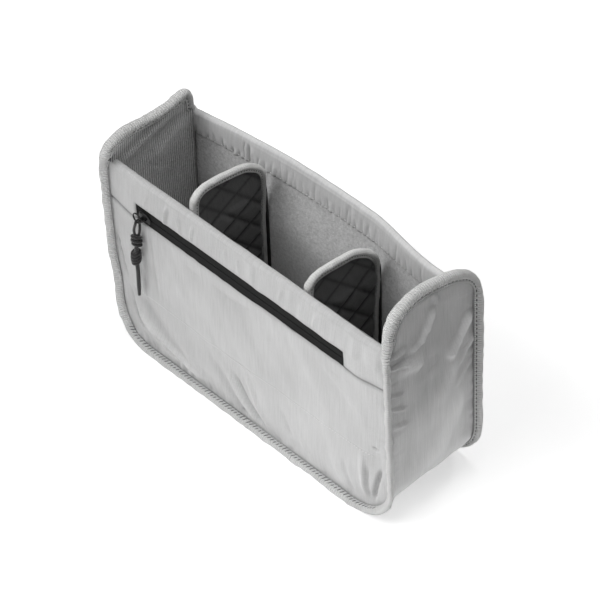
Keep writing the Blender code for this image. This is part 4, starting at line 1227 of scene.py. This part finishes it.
class InsertSlider(bpy.types.Operator):
    """Zip slider with its bridge, and the ring that hangs on it"""
    bl_idname = "insert.slider"
    bl_label = "Slider and ring"

    def execute(self, context):
        face = FRONT_SEAM - FRONT_SLACK
        x, z = SLIDER_X, ZIP_MIDDLE
        plate = rounded_block((x, face - 0.0001, z), (0.0062, 0.00062, 0.0042), 3.0, taper=0.16)
        under = rounded_block((x, face + 0.0038, z), (0.0060, 0.00042, 0.0042))
        neck = rounded_block((x - 0.0042, face + 0.0018, z), (0.0020, 0.0024, 0.0003))
        angle = np.linspace(0, math.pi, 17)
        arch = grid_of(x + 0.0017 * np.cos(angle) * 1.25, face - 0.0004 - 0.0049 * np.sin(angle) ** 0.7, z)
        bridge = tube_data(arch, 0.00045 + 0.00015 * np.sin(angle), sides=10, up=UPWARD)
        rails = [rounded_block((x, face - 0.0007, z + away), (0.0052, 0.0003, 0.0005), 3.0)
                 for away in (-0.0030, 0.0030)]
        put("slider_with_bridge", [plate, under, neck, bridge] + rails, "dark_metal", "slider", "slider_body")
        theta, phi = turns(48)[:, None], turns(14)[None, :]
        wire = 0.00062
        radius = 0.0040 + wire * np.cos(phi)
        points = grid_of(RING_CENTRE[0] + radius * np.cos(theta), RING_CENTRE[1] + wire * np.sin(phi),
                         RING_CENTRE[2] + radius * np.sin(theta))
        across, along = np.linspace(0, 0.004, 15)[None, :], np.linspace(0, 0.025, 49)[:, None]
        put("wire_ring", [sheet_data(points, across, along, True, True)], "dark_metal", "ring", "pull_ring")
        return {"FINISHED"}


# Pull cord, in metres from the ring's centre, as its solid has it
KNOT, KNOT_HALVES = np.array([-0.0022, -0.0008, -0.0222]), np.array([0.0052, 0.0040, 0.0062])
SECOND, SECOND_HALVES = np.array([-0.0050, -0.0006, -0.0400]), np.array([0.0044, 0.0040, 0.0068])
TAIL = ((-0.0048, -0.0006, -0.0440), (-0.0050, -0.0004, -0.0560), (-0.0060, -0.0002, -0.0680),
        (-0.0070, 0.0000, -0.0802))
STRAND_RADIUS = 0.00105


def knot_data(centre, halves, wraps, seed):
    """An overhand knot: a fat core with slanted wraps of the cord round it."""
    t = np.linspace(0, 2 * math.pi, 40)
    slant = 0.0016 * (1 if seed % 2 else -1)
    parts = []
    for k in range(wraps):
        level = (k - (wraps - 1) / 2) * halves[2] * 1.15 / max(wraps - 1, 1)
        ring = 0.72 * np.sqrt(max(1 - (level / halves[2] * 0.75) ** 2, 0.3))
        path = grid_of(np.cos(t) * halves[0] * ring, np.sin(t) * halves[1] * ring,
                       level + slant * np.cos(t + seed))
        parts.append(tube_data(path + centre, 0.00125, sides=10, up=UPWARD))
    return parts + [rounded_block(centre, halves * np.array([0.7, 0.7, 0.85]), 2.2)]


class InsertPullCord(bpy.types.Operator):
    """Knotted pull cord: a loop round the ring, two knots and a covered tail"""
    bl_idname = "insert.pull_cord"
    bl_label = "Pull cord"

    def execute(self, context):
        def piece(name, parts, *nodes):
            return put(name, parts, "pull_cord", "cord", *nodes)

        wrap = 0.0019
        angle = np.linspace(0, math.pi, 7)
        over = grid_of(0.0, -wrap * np.cos(angle), wrap * np.sin(angle) - 0.0040)
        front_end, back_end = KNOT + [-0.0006, -0.0010, 0.002], KNOT + [0.0006, 0.0010, 0.002]
        front_mid = (over[0] + front_end) / 2 + [-0.0009, -0.0003, 0]
        back_mid = (over[-1] + back_end) / 2 + [0.0009, 0.0002, 0]
        between = (KNOT + SECOND) / 2
        lead = np.concatenate([[over[3]], over[2::-1], [front_mid, KNOT, between], np.array(TAIL)])
        route = smooth_route(lead, 8) + RING_CENTRE
        fall = RING_CENTRE[2] + KNOT[2] - route[:, 2]
        end = lengths_along(route)
        radii = STRAND_RADIUS + 0.00050 * smooth((fall - 0.004) / 0.004)
        radii = radii * (1 - 0.22 * smooth((end - end[-1] + 0.010) / 0.010))
        tail = piece("pull_cord_run", [tube_data(route, radii, sides=14)], "pull_cord")
        back = smooth_route(np.concatenate([over[3:], [back_mid, back_end]]), 6) + RING_CENTRE
        strand = piece("pull_cord_loop", [tube_data(back, STRAND_RADIUS)])
        upper = piece("upper_knot", knot_data(RING_CENTRE + KNOT, KNOT_HALVES, 3, 1))
        lower = piece("lower_knot", knot_data(RING_CENTRE + SECOND, SECOND_HALVES, 4, 2))
        return {"FINISHED"}


# Dividers

# Their top edges in Y and Z, in tenths of a millimetre, from the front upright edge to the back one
DIVIDER_TOPS = {
    "left": ((-352, 1500), (-352, 1600), (-348, 1670), (-335, 1735), (-300, 1785), (-232, 1818),
             (-133, 1822), (17, 1803), (159, 1776), (243, 1734), (317, 1674), (352, 1612), (360, 1536),
             (356, 1410), (345, 1283), (335, 1176)),
    "right": ((-352, 1460), (-352, 1570), (-349, 1640), (-332, 1705), (-265, 1755), (-157, 1765),
              (-16, 1750), (97, 1735), (192, 1692), (288, 1616), (345, 1518), (360, 1423), (360, 1300),
              (350, 1180), (338, 1080)),
}
# Their quilting: two families of slanted lines. A line holds where its value is a whole number
QUILT_LINES = {
    "left": ((1.0, 1.0, 0.1403, 1.000), (-0.5, 1.0, 0.1533, 0.862)),
    "right": ((1.0, 1.0, 0.1500, 1.000), (-0.6, 1.0, 0.1550, 0.970)),
}
# How far the tape reaches in from the edge, half its thickness, and the radius of the two feet
DIVIDER_WRAP, DIVIDER_TAPE_HALF, FOOT_RADIUS = 0.0064, 0.0028, 0.0080


def divider_outline(side, step, inset=0.0):
    """Closed outline of a divider in Y and Z and its direction outwards, from the front edge over the top
    and round the feet: a curve through the top's points, straight edges and quarter circles."""
    top = np.array(DIVIDER_TOPS[side]) / 10000
    front, back, low, foot = top[0, 0], DIVIDER_BACK, DIVIDER_FOOT, FOOT_RADIUS
    angle = np.linspace(0, math.pi / 2, 9)[:-1]
    back_foot = np.stack([back - foot + foot * np.cos(angle), low + foot - foot * np.sin(angle)], 1)
    front_foot = np.stack([front + foot - foot * np.sin(angle), low + foot - foot * np.cos(angle)], 1)
    curve = np.concatenate([smooth_route(top, 12), [(back + 0.0002, 0.0900)], back_foot, [(0.0, low)],
                            front_foot, [(front, low + foot)], top[:1]])
    along = lengths_along(curve)
    at = np.linspace(0, along[-1], int(along[-1] / step), endpoint=False)
    return drawn_in(at_places(at, along, curve), inset, True)


def quilt_height(side, y, z, size):
    """Puffed diamonds: nought along two families of slanted lines, level between them."""
    near = 1.0
    for across, up, start, share in QUILT_LINES[side]:
        place = (across * y + up * z - start) / (size * share)
        near = np.minimum(near, np.abs(place - np.round(place)) * size * share / math.hypot(across, up))
    return 1 - np.exp(-((near / 0.0017) ** 1.2))


class InsertDividers(bpy.types.Operator):
    """The two lift-out dividers: quilted pad, bound edge and hook strips"""
    bl_idname = "insert.dividers"
    bl_label = "Dividers"

    def execute(self, context):
        sizes = context.scene.insert_sizes
        for side, x in DIVIDERS:
            body = side + "_divider"
            self.pad(side, x, sizes, body)
            self.tape(side, x, body)
            for edge in ("front", "back"):
                node = body + "_" + edge + "_hooks"
                low, high = (Vector(corner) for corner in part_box(node))
                strip = rounded_block(tuple((low + high) / 2), tuple((high - low) / 2), 9.0, 20, 60)
                put(side + "_" + edge + "_hook_strip", [strip], "hook_strip", body, node)
        return {"FINISHED"}

    def pad(self, side, x, sizes, body):
        outline, _ = divider_outline(side, 0.0012, 0.0020)
        rows = np.linspace(DIVIDER_FOOT + 0.0024, outline[:, 1].max() - 0.0004, 118)
        crown = outline[outline[:, 1].argmax(), 0]
        ends = []
        for half in (outline[outline[:, 0] <= crown], outline[outline[:, 0] >= crown]):
            half = half[np.argsort(half[:, 1])]
            ends.append(np.interp(rows, half[:, 1], half[:, 0])[:, None])
        front, back = ends
        share = np.linspace(0, 1, 58)[None, :]
        y = front + share * (back - front)
        z = rows[:, None] + 0 * y
        top = outline[outline[:, 1] > 0.13]
        ceiling = np.interp(y, top[:, 0], top[:, 1])
        edge = np.minimum(np.minimum(y - front, back - y), np.minimum(z - rows[0], ceiling - z)) + 0.002
        arch = quilt_height(side, y, z, sizes.quilt)
        # Painted shade along the quilting lines and painted light on the puffed diamonds
        painted_shading = 0.95 * bell(arch, 0.35) - 0.25 * smooth((arch - 0.6) / 0.3)
        faces = []
        for sign in (-1, 1):
            relief = noises(y, z, (0.00020, 0.006, 0.006, 91 + sign), (0.0003, 0.015, 0.02, 94 + sign))
            swell = 0.0014 + (0.0018 * arch + relief) * smooth((edge - 0.002) / 0.006)
            faces.append(grid_of(x + sign * swell, y, z))
        points = np.concatenate([faces[0], faces[1][:, ::-1]], 1)
        around = np.concatenate([share[0] * 0.068, 0.07 + share[0] * 0.068, [0.142]])
        part = sheet_data(points, around[None, :], rows[:, None], wrap_columns=True, caps=True,
                          painted_shading=np.concatenate([painted_shading, painted_shading[:, ::-1]], 1))
        piece = put(body + "_pad", [part], "quilted_cloth", body, body + "_foam", body + "_left_face",
                    body + "_right_face")

    def tape(self, side, x, body):
        path, out = divider_outline(side, 0.0012)
        run = lengths_along(path, True)
        p, q = binding_profile()

        def place(p, q):
            puff = noises(run[:-1, None], q * 2, (0.09, 0.012, 1.6, 95), (0.10, 0.004, 1.6, 96))
            thick = (face_swell(p, 0.3, 0.34) * (1 + puff * smooth((p - 0.1) / 0.3))) * DIVIDER_TAPE_HALF
            yz = path[:, None] - ((1 - p) * DIVIDER_WRAP)[..., None] * out[:, None]
            return np.stack([x + q * thick, yz[..., 0], yz[..., 1]], -1)

        points = place(p, q + 0 * run[:-1, None])
        around = np.append(lengths_along(points[0]), 0.016)
        # Painted shade on the tape's inner band, at its root and down the back upright edge, which stands in
        # shadow by the wall
        back = smooth((path[:, :1] - 0.026) / 0.008) * smooth((0.166 - path[:, 1:]) / 0.012)
        pinch = 0.5 * smooth((0.34 - p) / 0.12) + 0.6 * bell(p, 0.05) + 0.9 * back
        part = sheet_data(points, around[None, :], run[:, None], True, True, painted_shading=pinch)
        put(body + "_tape", [part], "divider_binding", body, body + "_binding")
        rows = []
        for sign in (-1.0, 1.0):
            line = place(np.array([[0.30]]), np.full((len(path), 1), sign))[:, 0]
            rows.append(stitches_on(line, (sign, 0.0, 0.0), 0.0026, 0.0013, 0.0008, True, lift=0.0001))
        put(body + "_stitches", rows, "dark_thread", body)


class InsertHiddenParts(bpy.types.Operator):
    """Finishes of the solids that stay: foam boards, coils and stops"""
    bl_idname = "insert.hidden_parts"
    bl_label = "Foam boards, coils and stops"

    def execute(self, context):
        for row in frame["record"]["subparts"]:
            if row["material_slot"] in ("foam", "zip_coil", "dark_metal"):
                kept = frame["nodes"][row["node"]]
                kept.data.materials.clear()
                kept.data.materials.append(finish(row["material_slot"]))
        return {"FINISHED"}


# Stage

CAMERA_AZIMUTH = math.radians(47.74)
CAMERA_HEIGHT = math.radians(44.12)
CAMERA_ROLL = math.radians(-2.26)
CAMERA_DISTANCE = 1.5524
CAMERA_TARGET = (0.0126, -0.0010, 0.1057)
MIDDLE = (0.0, 0.0, 0.08)
WHITE = (1.0, 1.0, 1.0, 1.0)

# Name, place, aim, size and power
LIGHTS = (
    ("Key", (-0.9, -1.6, 2.0), MIDDLE, 1.4, 36.0),
    ("Front", (-0.1, -1.8, 2.0), MIDDLE, 1.2, 7.0),
    ("Over", (0.1, 0.5, 2.4), MIDDLE, 0.8, 10.5),
    ("Left", (-2.0, 0.1, 1.3), MIDDLE, 1.4, 3.0),
    ("Back", (0.4, 1.7, 1.7), MIDDLE, 1.0, 12.0),
    ("Inside", (0.09, -0.06, 0.52), (0.0, 0.03, 0.14), 0.25, 0.36),
    ("Low right", (0.28, 0.0, 0.015), (0.08, 0, 0.005), 0.12, 0.060),
    ("Low front", (0.11, -0.32, 0.035), (0.05, 0, 0.02), 0.14, 0.34),
)


def set_camera(scene):
    """Places the camera at the photo's angle: back along two angles from its target, turned by its roll."""
    back = Vector((math.sin(CAMERA_AZIMUTH) * math.cos(CAMERA_HEIGHT),
                   -math.cos(CAMERA_AZIMUTH) * math.cos(CAMERA_HEIGHT), math.sin(CAMERA_HEIGHT)))
    level = Vector((math.cos(CAMERA_AZIMUTH), math.sin(CAMERA_AZIMUTH), 0.0))
    above = back.cross(level)
    right = level * math.cos(CAMERA_ROLL) + above * math.sin(CAMERA_ROLL)
    up = above * math.cos(CAMERA_ROLL) - level * math.sin(CAMERA_ROLL)
    data = bpy.data.cameras.new("Photo camera")
    data.lens, data.sensor_width, data.clip_start = 132.0, 36.0, 0.05
    made = bpy.data.objects.new("Photo camera", data)
    turn = Matrix((right, up, back)).transposed()
    made.matrix_world = Matrix.Translation(Vector(CAMERA_TARGET) + back * CAMERA_DISTANCE) @ turn.to_4x4()
    scene.collection.objects.link(made)
    scene.camera = made


def area_light(scene, name, place, aim, size, power):
    data = bpy.data.lights.new(name, "AREA")
    data.size = size
    data.energy = power
    made = bpy.data.objects.new(name, data)
    made.location = place
    made.rotation_euler = (Vector(aim) - Vector(place)).to_track_quat("-Z", "Y").to_euler()
    made.visible_camera = False
    scene.collection.objects.link(made)


def seen_strength(tree, rest, more):
    """A strength that is higher for rays that show the surface straight, mirrored or through glass."""
    rays = new_node(tree, "ShaderNodeLightPath")
    seen = rays.outputs["Is Camera Ray"]
    for kind in ("Is Glossy Ray", "Is Transmission Ray"):
        either = new_node(tree, "ShaderNodeMath", operation="MAXIMUM")
        link(tree, seen, either.inputs[0])
        link(tree, rays.outputs[kind], either.inputs[1])
        seen = either.outputs[0]
    return multiply_add(tree, seen, more, rest)


class InsertStage(bpy.types.Operator):
    """Pale floor, soft studio light and the camera"""
    bl_idname = "insert.stage"
    bl_label = "Stage"

    def execute(self, context):
        scene = context.scene
        scene.view_settings.view_transform = "Standard"
        x, y = np.meshgrid(np.linspace(-6.0, 6.0, 13), np.linspace(-6.0, 6.0, 13))
        floor = make_object("studio_floor", [sheet_data(grid_of(x, y, -0.0001), x, y, outward=UPWARD)])
        made, shader = new_material("studio_floor", scene.insert_colours.floor, 0.9, specular=0.0)
        shader.inputs["Emission Color"].default_value = WHITE
        link(made.node_tree, seen_strength(made.node_tree, 0.10, 0.36), shader.inputs["Emission Strength"])
        floor.data.materials.append(made)
        world = bpy.data.worlds.new("Studio")
        world.use_nodes = True
        ground = world.node_tree.nodes["Background"]
        ground.inputs["Color"].default_value = WHITE
        link(world.node_tree, seen_strength(world.node_tree, 0.01, 0.99), ground.inputs["Strength"])
        scene.world = world
        for light in LIGHTS:
            area_light(scene, *light)
        set_camera(scene)
        return {"FINISHED"}


class InsertPanel(bpy.types.Panel):
    """Lists the steps that build the insert"""
    bl_idname = "VIEW3D_PT_camera_bag_insert"
    bl_label = "Camera Bag Insert"
    bl_space_type = "VIEW_3D"
    bl_region_type = "UI"
    bl_category = "Insert"

    def draw(self, context):
        layout = self.layout
        for group in (context.scene.insert_sizes, context.scene.insert_colours):
            for name in group.__annotations__:
                layout.prop(group, name)
        for step in STEPS:
            layout.operator(step.bl_idname)


STEPS = (InsertStage, InsertHiddenParts, InsertPocketCloth, InsertRimBand, InsertBackCloth, InsertLinings,
         InsertEndCloth, InsertEndLinings, InsertSeamBinding, InsertZip, InsertSlider, InsertPullCord,
         InsertDividers)
CLASSES = (InsertSizes, InsertColours) + STEPS + (InsertPanel,)


def register():
    for found in CLASSES:
        bpy.utils.register_class(found)
    bpy.types.Scene.insert_sizes = bpy.props.PointerProperty(type=InsertSizes)
    bpy.types.Scene.insert_colours = bpy.props.PointerProperty(type=InsertColours)


def unregister():
    del bpy.types.Scene.insert_sizes
    del bpy.types.Scene.insert_colours
    for found in reversed(CLASSES):
        bpy.utils.unregister_class(found)


def main():
    register()
    for step in STEPS:
        group, name = step.bl_idname.split(".")
        getattr(getattr(bpy.ops, group), name)()


if __name__ == "__main__":
    main()
